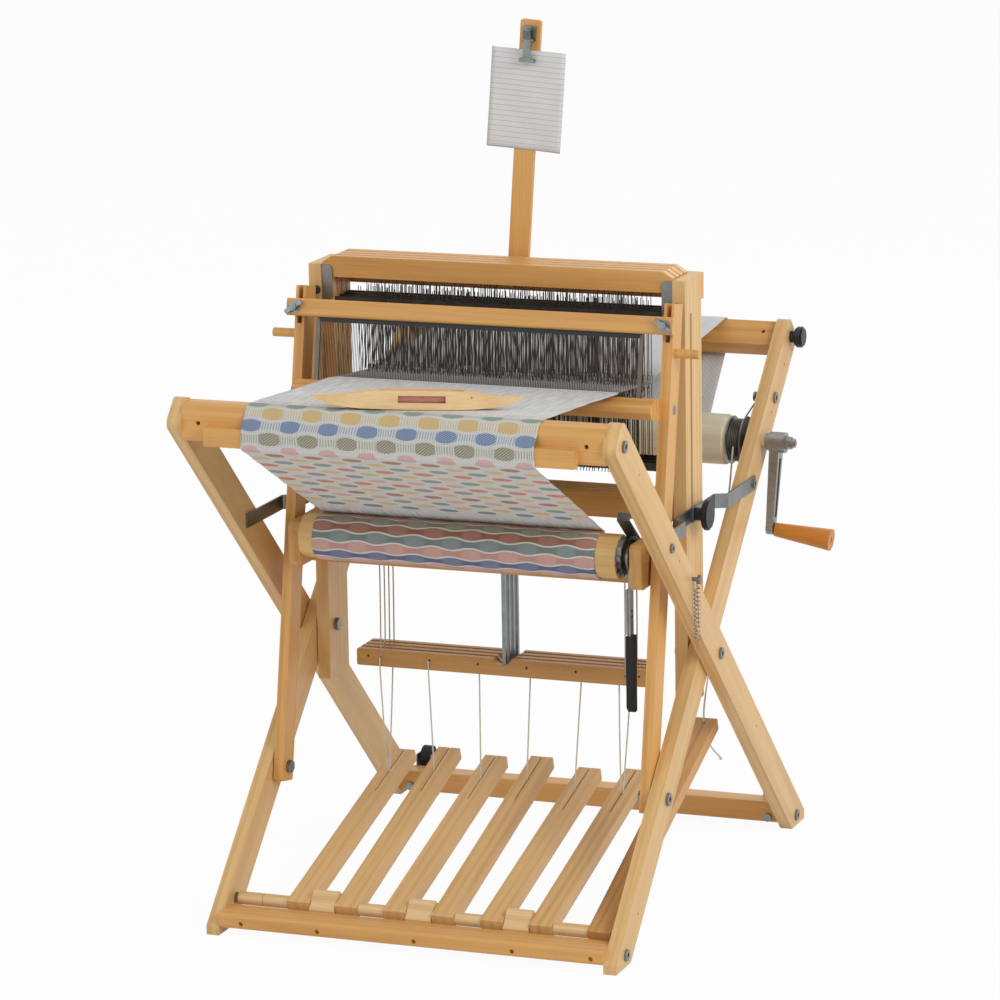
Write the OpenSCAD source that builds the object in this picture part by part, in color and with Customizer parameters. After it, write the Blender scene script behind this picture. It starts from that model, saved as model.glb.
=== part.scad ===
// Folding floor loom: an upright castle between two crossed leg frames.
// X runs to the weaver's right, Y from the weaver to the back, Z up from the floor.
// The crossed legs turn on a bolt at Y = 0; every place below is measured from it.

/* [Frame] */
// Height of the leg pivot above the floor
pivot_h = 342; // [330:1:360]
// Lean of each leg from the vertical
lean = 46.8; // [44:0.2:49]
// Width of a leg across its wide face
leg_w = 50; // [44:1:56]
// Thickness of every leg and castle post
board_t = 18; // [16:0.5:19]
// Length of a front leg from the pivot to its top end
leg_top = 562; // [550:1:580]
// Length of a rear leg from the pivot to its top end
rear_leg_top = 554; // [550:1:570]
// Distance of the leg top bolts from the pivot
top_bolt_s = 536; // [525:1:545]
// Height of the foot bolts above the floor
foot_bolt_z = 16; // [13:0.5:20]
// Reach of a foot's upright face beyond the leg's middle line at the floor
foot_out = 22.8; // [16:0.2:26]
// Running gap between boards that turn on each other
board_gap = 1.5; // [1:0.5:2.5]
// Radius of the frame bolts
bolt_r = 5; // [4:0.5:6]

/* [Castle] */
// Half width of the castle over its posts
castle_x = 273; // [268:1:285]
// Depth of a castle post beyond the room that its four shafts take
castle_room = 3; // [3:0.5:10]
// Front face of the castle posts
castle_y = -24; // [-26:1:-22]
// Distance of the castle posts' lower ends below the leg pivot
post_down = 74; // [52:1:87]
// Distance of the castle posts' upper ends above the leg pivot
post_up = 516; // [513:1:528]
// Thickness of the cross rails
rail_t = 11; // [10:1:14]
// Height of the top rail
top_rail_h = 36; // [32:1:46]
// Height of the low rails
low_rail_h = 38; // [34:1:42]
// Distance of the low rails' lower edge above the leg pivot
low_rail_up = 98; // [94:1:102]
// Width of the slot that the fold knob rides in
slot_w = 7.4; // [6.8:0.2:8]
// Length of the slot above the folded knob
slot_spare = 16; // [2:1:20]

/* [Fold] */
// Distance of the strap pivots from the leg pivot
strap_s = 281; // [276:1:284]
// Width of a fold strap
strap_w = 20; // [16:1:22]
// Thickness of a fold strap
strap_t = 2.5; // [2:0.1:2.6]
// Radius of the fold knobs
fold_knob_r = 21.5; // [18:0.5:24]
// Angle that each leg frame closes by
fold_angle = 28; // [24:1:29]

/* [Shafts and lamms] */
// Spacing of the shafts and lamms from front to back
shaft_pitch = 16.5; // [16:0.1:17]
// Thickness of a shaft frame
shaft_t = 13; // [11:0.5:13.5]
// Distance of the shafts' lower edge above the leg pivot
shaft_up = 184; // [180:1:190]
// Overall height of a shaft
shaft_h = 343; // [338:1:350]
// Height of a shaft's top bar
shaft_top_h = 29; // [26:1:34]
// Height of a shaft's bottom bar
shaft_bottom_h = 33; // [28:1:36]
// Width of a shaft's side stiles
shaft_side_w = 15; // [12:1:18]
// Half length of a lamm
lamm_x = 217; // [212:1:222]
// Distance of the lamms' lower edge below the leg pivot
lamm_down = 52; // [46:1:54]
// Height of a lamm
lamm_h = 24; // [22:1:26]
// Thickness of a lamm
lamm_t = 9; // [7:0.5:10]

/* [Beater] */
// Distance of the beater pivot from the leg pivot, down along the leg
beater_pivot_s = 236; // [230:1:242]
// Backward lean of the beater at rest
beater_lean = 10.6; // [10.2:0.1:10.8]
// Width of a sword
sword_w = 36; // [32:1:38]
// Thickness of a sword
sword_t = 14; // [12:0.5:14]
// Length of a sword above its pivot
sword_top = 663; // [660:1:672]
// Height of the handtree's centre above the beater pivot
handtree_s = 633; // [630:1:637]
// Half length of the handtree
handtree_x = 278; // [275:1:284]
// Height of the handtree
handtree_h = 24; // [22:1:26]
// Half length of the reed
reed_x = 236; // [230:1:240]
// Top of the race bar above the beater pivot
race_top = 535; // [530:1:537]
// Height of the race bar
race_h = 28; // [24:1:30]
// Radius of the dowel pegs
peg_r = 6.25; // [5.5:0.25:7]
// Reach of the dowel pegs from the middle of the loom
peg_x = 308; // [302:1:315]

/* [Cloth side] */
// Half length of the breast beam strip
strip_x = 258; // [250:1:264]
// Depth and height of the breast beam
breast_d = 48; // [44:1:52]
// Height of the breast beam
breast_h = 50; // [46:1:52]
// Place of the cloth beam's axis
cloth_beam_y = -138; // [-142:1:-134]
// Height of the cloth beam's axis above the leg pivot
cloth_beam_up = 160; // [156:1:164]
// Radius of the cloth beam
cloth_beam_r = 30; // [27:0.5:32]
// Thickness of the wound cloth over the beam
cloth_wound = 2.5; // [1.5:0.5:9]
// Place of the cloth roll's middle along its beam
cloth_shift = -13; // [-16:1:0]
// Half width of the woven cloth
cloth_x = 205; // [195:1:212]
// Number of teeth on the ratchet wheel
ratchet_teeth = 14; // [10:1:18]

/* [Warp side] */
// Distance of the warp beam from the leg pivot, up along the leg
warp_beam_s = 353; // [348:1:358]
// Radius of the warp beam
warp_beam_r = 32; // [29:0.5:34]
// Half width of the warp
warp_x = 196; // [188:1:204]
// Half length of the paper wound on under the warp
warp_paper_x = 241; // [225:1:244]
// Radius over the wound warp
warp_roll_r = 35.5; // [35:0.5:36.5]
// Throw of the crank
crank_throw = 124; // [110:1:130]
// Length of the crank grip
grip_len = 82; // [75:0.5:95]
// Droop of the crank grip's bolt
grip_tilt = 7; // [0:0.5:8]

/* [Treadles] */
// Spacing of the six treadles
treadle_pitch = 69.6; // [67:0.2:70]
// Sideways place of the middle of the six treadles
treadle_mid = -5; // [-7:0.5:0]
// Width of a treadle
treadle_w = 32; // [28:1:33]
// Thickness of a treadle
treadle_t = 18; // [16:1:20]
// Length of a treadle behind its axle
treadle_len = 402; // [390:1:408]
// Upward slope of the six treadles
treadle_slope = 15.2; // [15:0.1:16]
// Length of the brake treadle behind its axle
brake_len = 482; // [470:1:490]
// Upward slope of the brake treadle
brake_slope = 20.7; // [20:0.1:21.2]
// Place of the brake treadle
brake_x = 251; // [249:1:252]
// Radius of the treadle axle
axle_r = 4; // [3.5:0.25:4.5]

/* [Shuttle] */
// Length of the shuttle from tip to tip
shuttle_len = 276; // [250:2:300]
// Width of the shuttle
shuttle_w = 32; // [28:1:36]

/* [Mast] */
// Width of the mast
mast_w = 29; // [26:1:32]
// Length of the mast
mast_len = 368; // [350:1:390]
// Sideways lean of the mast
mast_lean = 4.1; // [3:0.1:5]

/* [Hidden] */
$fn = 48;

maple = "BurlyWood";
zinc = "LightSlateGray";
black = [0.08, 0.08, 0.08];

// A pin turns in its bore with this much room on the radius
run_gap = 0.08;
// Soft faces and sliding faces stay this far apart
soft_gap = 0.4;
// Room to let a cut pass clean through a face
cut = 1;

post_in = castle_x - board_t;
post_z0 = pivot_h - post_down;
post_z1 = pivot_h + post_up;
low_rail_z = pivot_h + low_rail_up;
shaft_z = pivot_h + shaft_up;
lamm_z = pivot_h - lamm_down;
cloth_beam_z = pivot_h + cloth_beam_up;
foot_y = pivot_h * tan(lean) + foot_out;
foot_bolt_s = (pivot_h - foot_bolt_z) / cos(lean);
castle_d = 4 * shaft_pitch + castle_room;
post_back = castle_y + castle_d;
leg_b_in = castle_x + board_gap;
leg_b_out = leg_b_in + board_t;
leg_a_in = leg_b_out + board_gap;
leg_a_out = leg_a_in + board_t;
// The shafts hang this far behind the posts' middle, clear of the keeper plates
shaft_set_back = 1.5;
shaft_mid = castle_y + castle_d / 2 + shaft_set_back;
cloth_roll_r = cloth_beam_r + cloth_wound;

head_r = 8;
head_h = 3.2;
washer_r = 12;
nut_h = 6;

strap_y = strap_s * sin(lean);
strap_z = pivot_h + strap_s * cos(lean);
folded_lean = lean - fold_angle;
strap_rise = sqrt(strap_y * strap_y - pow(strap_s * sin(folded_lean), 2));
knob_top_z = pivot_h + strap_s * cos(folded_lean) + strap_rise;

beater_y = -beater_pivot_s * sin(lean);
beater_z = pivot_h - beater_pivot_s * cos(lean);
sword_out = castle_x;
sword_in = sword_out - sword_t;

breast_y = -top_bolt_s * sin(lean);
breast_z = pivot_h + top_bolt_s * cos(lean) + 2;
strip_d = 12;
strip_h = 25;
breast_front = breast_y - breast_d / 2;
strip_front = breast_front - strip_d;
strip_z = breast_z - breast_h / 2 - 3;

warp_beam_y = warp_beam_s * sin(lean);
warp_beam_z = pivot_h + warp_beam_s * cos(lean);
back_beam_h = 44;
back_beam_t = 26;
// Reach of the back beam in front of the leg's middle line
back_beam_front = 16;
back_beam_s = rear_leg_top - 25;
rivet_h = 2.5;
// The hub and the arm turn clear of the strap's rivet
crank_arm_x = leg_b_out + strap_t + rivet_h + 1.2;
crank_x = crank_arm_x - 0.8;
crank_arm_t = 10;
crank_end_x = crank_arm_x + crank_arm_t + 18;
journal_end_x = crank_arm_x + 7.3;
grip_r1 = 9.8;
grip_r2 = 15.5;
// The grip's inner end stays clear of the arm's leaning face
grip_start = crank_arm_t + 2.3;
crank_tip_x = crank_arm_x + (grip_start + grip_len) * cos(grip_tilt) + grip_r2 * sin(grip_tilt);

axle_y = -foot_y + 61;
axle_z = 36;
front_beam_d = 48;
front_beam_h = 21;
front_beam_z = 11;
rear_beam_d = 38;
rear_beam_h = 30;
rear_beam_y = foot_y - 26 - rear_beam_d;
rear_beam_z = 8;
wheel_r = 17;
wheel_y = rear_beam_y + rear_beam_d + wheel_r + 2;
wheel_z = 46;
wheel_x = 270;

fell_y = -112;
web_t = 1.2;
fell_z = pivot_h + 376;
cloth_top_z = breast_z + breast_h / 2 + soft_gap;
// The heddle eyes hold the warp a little below the line between the beams
eye_z = fell_z - 12;

// The origin is the middle of the footprint's box, on the floor
left_x = -(leg_a_out + head_h);
origin = [-(left_x + crank_tip_x) / 2, 0, 0];

function shaft_y(k) = shaft_mid + (k - 2.5) * shaft_pitch;
function treadle_x(k) = treadle_mid + (k - 3.5) * treadle_pitch;

// Seats a piece in the loom's own frame
module placed() {
    translate(origin) children();
}

// Repeats a piece on the left, mirrored
module both_sides() {
    children();
    mirror([1, 0, 0]) children();
}

// Draws on the left when side is -1, and on the right when it is 1
module on_side(side) {
    if (side > 0) children();
    else mirror([1, 0, 0]) children();
}

// Turns a flat (Y, Z) outline into a board that starts at x0
module board_x(x0, t) {
    translate([x0, 0, 0]) rotate([90, 0, 90]) linear_extrude(t) children();
}

// Turns a flat (X, Z) outline into a board that starts at y0
module board_y(y0, t) {
    translate([0, y0 + t, 0]) rotate([90, 0, 0]) linear_extrude(t) children();
}

module rod_x(x0, x1, r) {
    translate([x0, 0, 0]) rotate([0, 90, 0]) cylinder(h = x1 - x0, r = r);
}

module rod_y(y0, y1, r) {
    translate([0, y0, 0]) rotate([-90, 0, 0]) cylinder(h = y1 - y0, r = r);
}

// A rectangle with true round corners, from its lower left corner
module round_rect(w, h, r) {
    translate([r, 0]) square([w - 2 * r, h]);
    translate([0, r]) square([w, h - 2 * r]);
    for (x = [r, w - r], z = [r, h - r]) translate([x, z]) circle(r);
}

// A flat bolt head with a hex socket, seated on a face at x0 and facing +X
module bolt_head_x(x0, r = head_r, h = head_h) {
    difference() {
        rod_x(x0, x0 + h, r);
        translate([x0 + h - 2, 0, 0]) rotate([0, 90, 0]) cylinder(h = 3, r = r * 0.45, $fn = 6);
    }
}

// The leg frames: local Z runs up the leg from the pivot, local Y across it
module along_a() {
    translate([0, 0, pivot_h]) rotate([lean, 0, 0]) children();
}

module along_b() {
    translate([0, 0, pivot_h]) rotate([-lean, 0, 0]) children();
}

// The beater's frame: local Z runs up the sword from the beater pivot
module along_beater() {
    translate([0, beater_y, beater_z]) rotate([-beater_lean, 0, 0]) children();
}

// Side outline of a leg, cut flat by the floor and upright at the foot
module leg_outline(turn, top) {
    intersection() {
        translate([0, pivot_h]) rotate(turn)
            translate([-leg_w / 2, -leg_top]) round_rect(leg_w, leg_top + top, 12);
        translate([-foot_y, 0]) square([2 * foot_y, 3 * leg_top]);
    }
    intersection() {
        translate([0, pivot_h]) rotate(turn)
            translate([-leg_w / 2, 0]) round_rect(leg_w, top, 12);
        translate([-leg_top, pivot_h + 1]) square([2 * leg_top, leg_top]);
    }
}

module castle_post(side) {
    slot_z0 = strap_z - slot_w / 2 - 1;
    slot_z1 = knob_top_z + slot_w / 2 + slot_spare;
    color(maple) placed() on_side(side) difference() {
        board_x(post_in, board_t)
            translate([castle_y, post_z0]) square([castle_d, post_z1 - post_z0]);
        // Slot for the fold knob, wider on the inner side for the slider's head
        board_x(post_in - cut, board_t + 2 * cut)
            translate([-slot_w / 2, slot_z0]) round_rect(slot_w, slot_z1 - slot_z0, slot_w / 2 - 0.1);
        board_x(post_in - cut, 6 + cut)
            translate([-10, slot_z0 - 6]) square([20, slot_z1 - slot_z0 + 12]);
        // Pivot bore
        translate([0, 0, pivot_h]) rod_x(post_in - cut, castle_x + cut, bolt_r + run_gap);
        // Kerf that holds the keeper plate
        translate([post_in - cut, castle_y + 2.2, post_z1 - 50])
            cube([8 + cut, 1.9, 50 + cut]);
    }
}

// The rear low rail ends this far inside the posts' outer faces
low_rail_in = 5;

module castle_rails() {
    color(maple) placed() {
        // Top rail across the backs of the posts
        translate([-castle_x, post_back, post_z1 - top_rail_h]) cube([2 * castle_x, rail_t, top_rail_h]);
        // Low rails that carry the lifting levers, front and back
        translate([-castle_x + low_rail_in, post_back, low_rail_z])
            cube([2 * (castle_x - low_rail_in), rail_t, low_rail_h]);
        difference() {
            translate([-castle_x, castle_y - rail_t, low_rail_z])
                cube([2 * castle_x, rail_t, low_rail_h]);
            // The cloth beam blocks pass through the front rail
            both_sides() translate([post_in - block_t - 0.3, castle_y - rail_t - cut, block_z0 - 0.3])
                cube([block_t + 0.6, rail_t + 2 * cut, low_rail_h + 2 * cut]);
        }
    }
}

block_t = 17;
block_z0 = cloth_beam_z - 40;
block_z1 = cloth_beam_z + 21;
block_front = cloth_beam_y - 23;

module cloth_beam_blocks() {
    color(maple) placed() both_sides() difference() {
        board_x(post_in - block_t, block_t - 0.02) difference() {
            polygon([[block_front, block_z0 + 8], [block_front + 6, block_z0], [castle_y + 26, block_z0],
                [castle_y + 26, block_z1 - 30], [castle_y, block_z1], [block_front + 5, block_z1],
                [block_front, block_z1 - 5]]);
            // The rear of the block stays clear of the first shaft
            translate([castle_y + 2, block_z0 + low_rail_h - 12]) square([40, 80]);
        }
        translate([0, cloth_beam_y, cloth_beam_z]) rod_x(post_in - block_t - cut, castle_x, 8 + run_gap);
    }
}

stop_rod_x = 2.5;
scallop_r = 15;
scallop_up = 6;
// The rods end just above the lamm's scallop
stop_rod_z = lamm_z + lamm_h + scallop_up - sqrt(scallop_r * scallop_r - 25) + soft_gap;
lever_pin_x = 110;
lever_pin_z = low_rail_z + 16;

module castle_hardware() {
    color(zinc) placed() {
        both_sides() {
            // Pivot bolt with washers between the boards, head outside and nut inside
            translate([0, 0, pivot_h]) {
                rod_x(post_in - nut_h, leg_a_out + 0.2, bolt_r);
                rod_x(castle_x, leg_b_in - 0.2, washer_r);
                rod_x(leg_b_out + 0.2, leg_a_in - 0.2, washer_r);
                bolt_head_x(leg_a_out + 0.2);
                rotate([0, 90, 0]) translate([0, 0, post_in - nut_h]) cylinder(h = nut_h, r = 9, $fn = 6);
            }
            // Keeper plate in its kerf, in front of the shafts
            translate([0, castle_y + 2.4, 0]) board_y(0, 1.5)
                translate([post_in - 16, post_z1 - 49.5]) round_rect(23, 48, 6);
            // Rail bolts on the backs and fronts of the rails
            for (z = [post_z1 - top_rail_h / 2, low_rail_z + low_rail_h / 2])
                translate([post_in + 6, 0, z]) rod_y(post_back + rail_t, post_back + rail_t + 3, 6);
            // Pins that the lifting levers rock on
            translate([lever_pin_x, 0, lever_pin_z]) rod_y(castle_y, post_back, 3);
            // Bumpers that the beater rests on
            translate([post_in + bumper_r + 1, 0, bumper_z]) rod_y(bumper_y, castle_y, bumper_r);
        }
        // Stop rods that hold the lamms at rest, hung from a bar between the low rails
        translate([-6, castle_y, low_rail_z + 2]) cube([18, castle_d, 5]);
        for (k = [1:4])
            translate([stop_rod_x - 2.5, shaft_y(k) - 3, stop_rod_z])
                cube([5, 6, low_rail_z + 2 - stop_rod_z]);
        // Pin in the right block that the pawl turns on
        translate([0, pawl_y, pawl_z]) rod_x(pawl_x0, post_in - block_t, 3);
        // Clip body on the mast's face
        mast_frame() {
            translate([-9, mast_y - 3, mast_len - 28]) cube([18, 3, 20]);
            translate([0, 0, mast_len - 12]) rod_y(mast_y - 5.5, mast_y - 3, 4.5);
            translate([-8, mast_y - 7, mast_len - 27]) rotate([0, 90, 0]) cylinder(h = 2.5, r = 2.4);
            translate([-8, mast_y - 7, mast_len - 29.4]) cube([2.5, 4, 4.8]);
            translate([5.5, mast_y - 7, mast_len - 27]) rotate([0, 90, 0]) cylinder(h = 2.5, r = 2.4);
            translate([5.5, mast_y - 7, mast_len - 29.4]) cube([2.5, 4, 4.8]);
        }
    }
}

bumper_z = post_z1 - 36;
bumper_r = 5.5;
sword_back_y = beater_y + (bumper_z - beater_z) * tan(beater_lean) + sword_w / 2 / cos(beater_lean);
bumper_y = sword_back_y + bumper_r * tan(beater_lean) + soft_gap;

mast_y = post_back + rail_t;
mast_foot_x = 2.7;
mast_foot_z = post_z1 - top_rail_h + 4;
mast_t = 8;

// The mast's frame: local Z runs up the slat
module mast_frame() {
    translate([mast_foot_x, 0, mast_foot_z]) rotate([0, mast_lean, 0]) children();
}

module mast() {
    color(maple) placed() mast_frame()
        board_y(mast_y, mast_t) translate([-mast_w / 2, 0]) round_rect(mast_w, mast_len, 3);
}

note_w = 107;
note_h = 137;
note_drop = 41;

module note_sheet() {
    color("WhiteSmoke") placed() mast_frame()
        translate([-note_w / 2, mast_y - 1.2, mast_len - note_drop - note_h]) cube([note_w, 0.8, note_h]);
}

// The sprung jaw of the clip turns on the clip body's two ears
module clip_jaw() {
    color(zinc) placed() mast_frame() translate([0, mast_y - 7, mast_len - 27]) {
        board_x(-5.3, 10.6) {
            circle(2.2);
            polygon([[-3.4, -27], [-1.6, -27], [-1.6, 1.5], [-7.8, 15.2], [-9.3, 14.4], [-3.4, 1]]);
        }
        translate([-11, -3, -30]) cube([22, 7, 4.5]);
    }
}

// Cloth from the fell over the breast beam and back to the roll
module cloth_web() {
    y0 = strip_front - soft_gap;
    z1 = cloth_top_z;
    zl = strip_z - soft_gap;
    dy = cloth_beam_y - y0;
    dz = cloth_beam_z - zl;
    fall = atan2(-dz, dy) - asin((cloth_roll_r + web_t) / sqrt(dy * dy + dz * dz));
    ty = cloth_beam_y + (cloth_roll_r + soft_gap) * sin(fall);
    tz = cloth_beam_z + (cloth_roll_r + soft_gap) * cos(fall);
    by = breast_y + breast_d / 2 - 8;
    fy = strip_front + 20;
    color("Ivory") placed() board_x(-cloth_x, 2 * cloth_x) polygon([
        [fell_y, fell_z], [by, z1], [fy, z1], [y0, strip_z + strip_h + 2], [y0, zl],
        [ty + web_t * sin(fall), tz + web_t * cos(fall)],
        [ty, tz],
        [y0 - web_t, zl - web_t],
        [y0 - web_t, strip_z + strip_h + 2.4], [fy - 1, z1 + web_t], [by, z1 + web_t],
        [fell_y, fell_z + web_t]]);
}

// Warp from the fell through the shafts, over the back beam and down to the warp beam
module warp_web() {
    s1 = back_beam_s + back_beam_h / 2;
    // The two outer corners of the back beam
    ay = s1 * sin(lean) - back_beam_front * cos(lean);
    az = pivot_h + s1 * cos(lean) + back_beam_front * sin(lean);
    cy = s1 * sin(lean) + (back_beam_t - back_beam_front) * cos(lean);
    cz = pivot_h + s1 * cos(lean) - (back_beam_t - back_beam_front) * sin(lean);
    r = warp_roll_r + soft_gap;
    dy = cy + 2 - warp_beam_y;
    dz = cz - 4 - warp_beam_z;
    // The side of the warp beam that faces away from the castle
    turn = atan2(dz, dy) - acos(r / sqrt(dy * dy + dz * dz));
    color("White") placed() board_x(-warp_x, 2 * warp_x) polygon([
        [fell_y + soft_gap, fell_z], [shaft_mid, eye_z],
        [ay - 4, az + soft_gap], [ay + 3, az + soft_gap],
        [cy + soft_gap + 1, cz + 6], [cy + soft_gap + 1, cz - 4],
        [warp_beam_y + r * cos(turn), warp_beam_z + r * sin(turn)],
        [warp_beam_y + (r + web_t) * cos(turn), warp_beam_z + (r + web_t) * sin(turn)],
        [cy + soft_gap + 1 + web_t, cz - 4.5], [cy + soft_gap + 1 + web_t, cz + 6.5],
        [ay + 3.5, az + soft_gap + web_t], [ay - 4, az + soft_gap + web_t],
        [shaft_mid, eye_z + web_t], [fell_y + soft_gap, fell_z + web_t]]);
}

module leg_a(side) {
    color(maple) placed() on_side(side) difference() {
        board_x(leg_a_in, board_t) leg_outline(lean, leg_top);
        translate([0, 0, pivot_h]) rod_x(leg_a_in - cut, leg_a_out + cut, bolt_r + run_gap);
        // Bore of the front strap's pivot
        along_a() translate([0, 0, strap_s]) rod_x(leg_a_in - cut, leg_a_out + cut, 3 + run_gap);
        // Plugged screw holes
        along_a() for (s = [-216, 240, 460])
            translate([0, 4, s]) rod_x(leg_a_out - 1.5, leg_a_out + cut, 2);
    }
}

module leg_b(side) {
    color(maple) placed() on_side(side) difference() {
        board_x(leg_b_in, board_t) leg_outline(-lean, rear_leg_top);
        translate([0, 0, pivot_h]) rod_x(leg_b_in - cut, leg_b_out + cut, bolt_r + run_gap);
        along_b() {
            translate([0, 0, strap_s]) rod_x(leg_b_in - cut, leg_b_out + cut, 3 + run_gap);
            translate([0, 0, warp_beam_s]) rod_x(leg_b_in - cut, leg_b_out + cut, 8 + run_gap);
            translate([0, 0, top_bolt_s]) rod_x(leg_b_in - cut, leg_b_out + cut, 4 + run_gap);
            translate([0, 0, -beater_pivot_s]) rod_x(leg_b_in - cut, leg_b_out + cut, bolt_r + run_gap);
            for (s = [-411, 406, 490])
                translate([0, 4, s]) rod_x(leg_b_out - 1.5, leg_b_out + cut, 2);
        }
    }
}

breast_round = 16;

module breast_beam() {
    hole_x = leg_a_in - 24;
    color(maple) placed() {
        difference() {
            board_x(-leg_a_in, 2 * leg_a_in) translate([breast_front, breast_z - breast_h / 2]) {
                translate([0, 6]) square([breast_d, breast_h - 6 - breast_round]);
                translate([6, 0]) square([breast_d - 12, breast_h - breast_round]);
                translate([breast_round, 0]) square([breast_d - 2 * breast_round, breast_h]);
                for (y = [6, breast_d - 6]) translate([y, 6]) circle(6);
                for (y = [breast_round, breast_d - breast_round])
                    translate([y, breast_h - breast_round]) circle(breast_round);
            }
            both_sides() translate([hole_x, 0, breast_z]) rod_y(breast_front - cut, breast_front + 22, 3);
        }
        // The strip that the cloth turns over
        translate([-strip_x, strip_front, strip_z]) cube([2 * strip_x, strip_d, strip_h]);
    }
}

module rear_lower_beam() {
    color(maple) placed() board_x(-leg_a_in, 2 * leg_a_in)
        translate([rear_beam_y, rear_beam_z]) round_rect(rear_beam_d, rear_beam_h, 5);
}

module front_frame_hardware() {
    color(zinc) placed() {
        both_sides() {
            along_a() for (s = [top_bolt_s, -foot_bolt_s]) translate([0, 0, s]) bolt_head_x(leg_a_out);
            // Brackets that hold the transport wheels
            for (x = [wheel_x - 12, wheel_x + 10]) board_x(x, 2) {
                translate([rear_beam_y + rear_beam_d, rear_beam_z + 4])
                    square([wheel_y - rear_beam_y - rear_beam_d, wheel_z + 8 - rear_beam_z - 4]);
                translate([wheel_y, wheel_z]) circle(8);
            }
            translate([0, wheel_y, wheel_z]) rod_x(wheel_x - 12, wheel_x + 12, 3);
            // Beam bolts on the rear beam's front face
            translate([wheel_x + 7, 0, rear_beam_z + 8]) rod_y(rear_beam_y - 4, rear_beam_y, 6);
        }
        // The bolt that the return spring hangs from
        translate([0, -118, pivot_h + 131]) {
            rod_x(leg_a_out, leg_a_out + 8, 3);
            translate([leg_a_out + 8, 0, 0]) rotate([0, 90, 0]) cylinder(h = 4, r = 6.5, $fn = 6);
        }
    }
}

module transport_wheels() {
    color(black) placed() both_sides() translate([0, wheel_y, wheel_z]) difference() {
        rod_x(wheel_x - 7, wheel_x + 7, wheel_r);
        rod_x(wheel_x - 8, wheel_x + 8, 3 + run_gap);
    }
}

module back_beam() {
    color(maple) placed() difference() {
        board_x(-leg_b_in, 2 * leg_b_in) translate([0, pivot_h]) rotate(-lean)
            translate([-back_beam_front, back_beam_s - back_beam_h / 2])
                round_rect(back_beam_t, back_beam_h, 3);
        both_sides() {
            // Bores for the knob studs and the accessory holes
            along_b() translate([0, 0, top_bolt_s]) rod_x(leg_b_in - 30, leg_b_in + cut, 4 + run_gap);
            along_b() translate([leg_b_in - 18.5, 0, back_beam_s + 2]) rod_y(-back_beam_t, back_beam_t, 3);
        }
    }
}

module front_lower_beam() {
    color(maple) placed() difference() {
        board_x(-leg_b_in, 2 * leg_b_in) translate([-foot_y, front_beam_z])
            round_rect(front_beam_d, front_beam_h, 5);
        for (x = [-242, -131, 8, 147, 257])
            translate([x, 0, front_beam_z + 8]) rod_y(-foot_y - cut, -foot_y + 6, 3.2);
    }
}

block_back_y = axle_y + 18;
front_beam_back = -foot_y + front_beam_d;
spacer_r = 9;

module treadle_blocks() {
    gap_w = treadle_pitch - treadle_w;
    color(maple) placed() difference() {
        union() {
            // Blocks between treadles 1 and 2, 3 and 4, 5 and 6 carry the axle
            for (k = [1, 3, 5])
                board_x(treadle_x(k) + treadle_w / 2 + 1, gap_w - 2) polygon([
                    [front_beam_back, front_beam_z + 3], [block_back_y, front_beam_z + 3],
                    [block_back_y, axle_z + 13], [block_back_y - 5, axle_z + 18],
                    [block_back_y - 14, axle_z + 18], [front_beam_back, front_beam_z + front_beam_h + 1]]);
            translate([0, axle_y, axle_z]) {
                // Spacers fill the rest of the axle
                first = treadle_x(1) - treadle_w / 2 - 0.5;
                rod_x(-leg_b_in + 6, (first - leg_b_in + 6) / 2 - 0.3, spacer_r);
                rod_x((first - leg_b_in + 6) / 2 + 0.3, first, spacer_r);
                for (k = [2, 4])
                    rod_x(treadle_x(k) + treadle_w / 2 + 0.5,
                        treadle_x(k + 1) - treadle_w / 2 - 0.5, spacer_r);
                rod_x(treadle_x(6) + treadle_w / 2 + 0.5, brake_x - treadle_w / 2 - 0.5, spacer_r);
                rod_x(brake_x + treadle_w / 2 + 0.5, leg_b_in - 0.3, spacer_r);
            }
        }
        translate([0, axle_y, axle_z]) rod_x(-leg_b_in - cut, leg_b_in + cut, axle_r + run_gap);
    }
}

module rear_frame_hardware() {
    color(zinc) placed() {
        // Treadle axle with a nut at its left end
        translate([0, axle_y, axle_z]) {
            rod_x(-leg_b_in, leg_b_in, axle_r);
            translate([-leg_b_in, 0, 0]) rotate([0, 90, 0]) cylinder(h = 5.5, r = 7.5, $fn = 6);
        }
        both_sides() along_b() translate([0, 0, -foot_bolt_s]) bolt_head_x(leg_b_out);
        // Bolt that holds the brake cable's clamp on the inner face of the right leg
        along_b() translate([0, 0, cable_anchor_s]) {
            bolt_head_x(leg_b_out);
            rod_x(leg_b_in - 9, leg_b_in, 4);
            rod_x(leg_b_in - 12, leg_b_in - 9, 7);
        }
        both_sides() translate([0, warp_beam_y, warp_beam_z]) difference() {
            rod_x(leg_b_in - 1.2, leg_b_in, 12);
            rod_x(leg_b_in - 2, leg_b_in + 1, 8 + run_gap);
        }
    }
}

cable_anchor_s = 429;
cord_r = 1.3;
// The cord's hole in the brake treadle's upper face
brake_hole_y = axle_y + (brake_len - 12) * cos(brake_slope) - treadle_t / 2 * sin(brake_slope);
brake_hole_z = axle_z + (brake_len - 12) * sin(brake_slope) + treadle_t / 2 * cos(brake_slope);
// Route of the brake cord from the brake treadle up to the drum, as chosen points
brake_cord_route = [
    [brake_x, brake_hole_y, brake_hole_z + 0.3],
    [brake_x, brake_hole_y + 3, brake_hole_z + 26],
    [252, 141, pivot_h - 42], [254, 173, pivot_h + 58], [256, 197, pivot_h + 128],
    [258, 213, pivot_h + 188], [258, 227.6, pivot_h + 238]];

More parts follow.
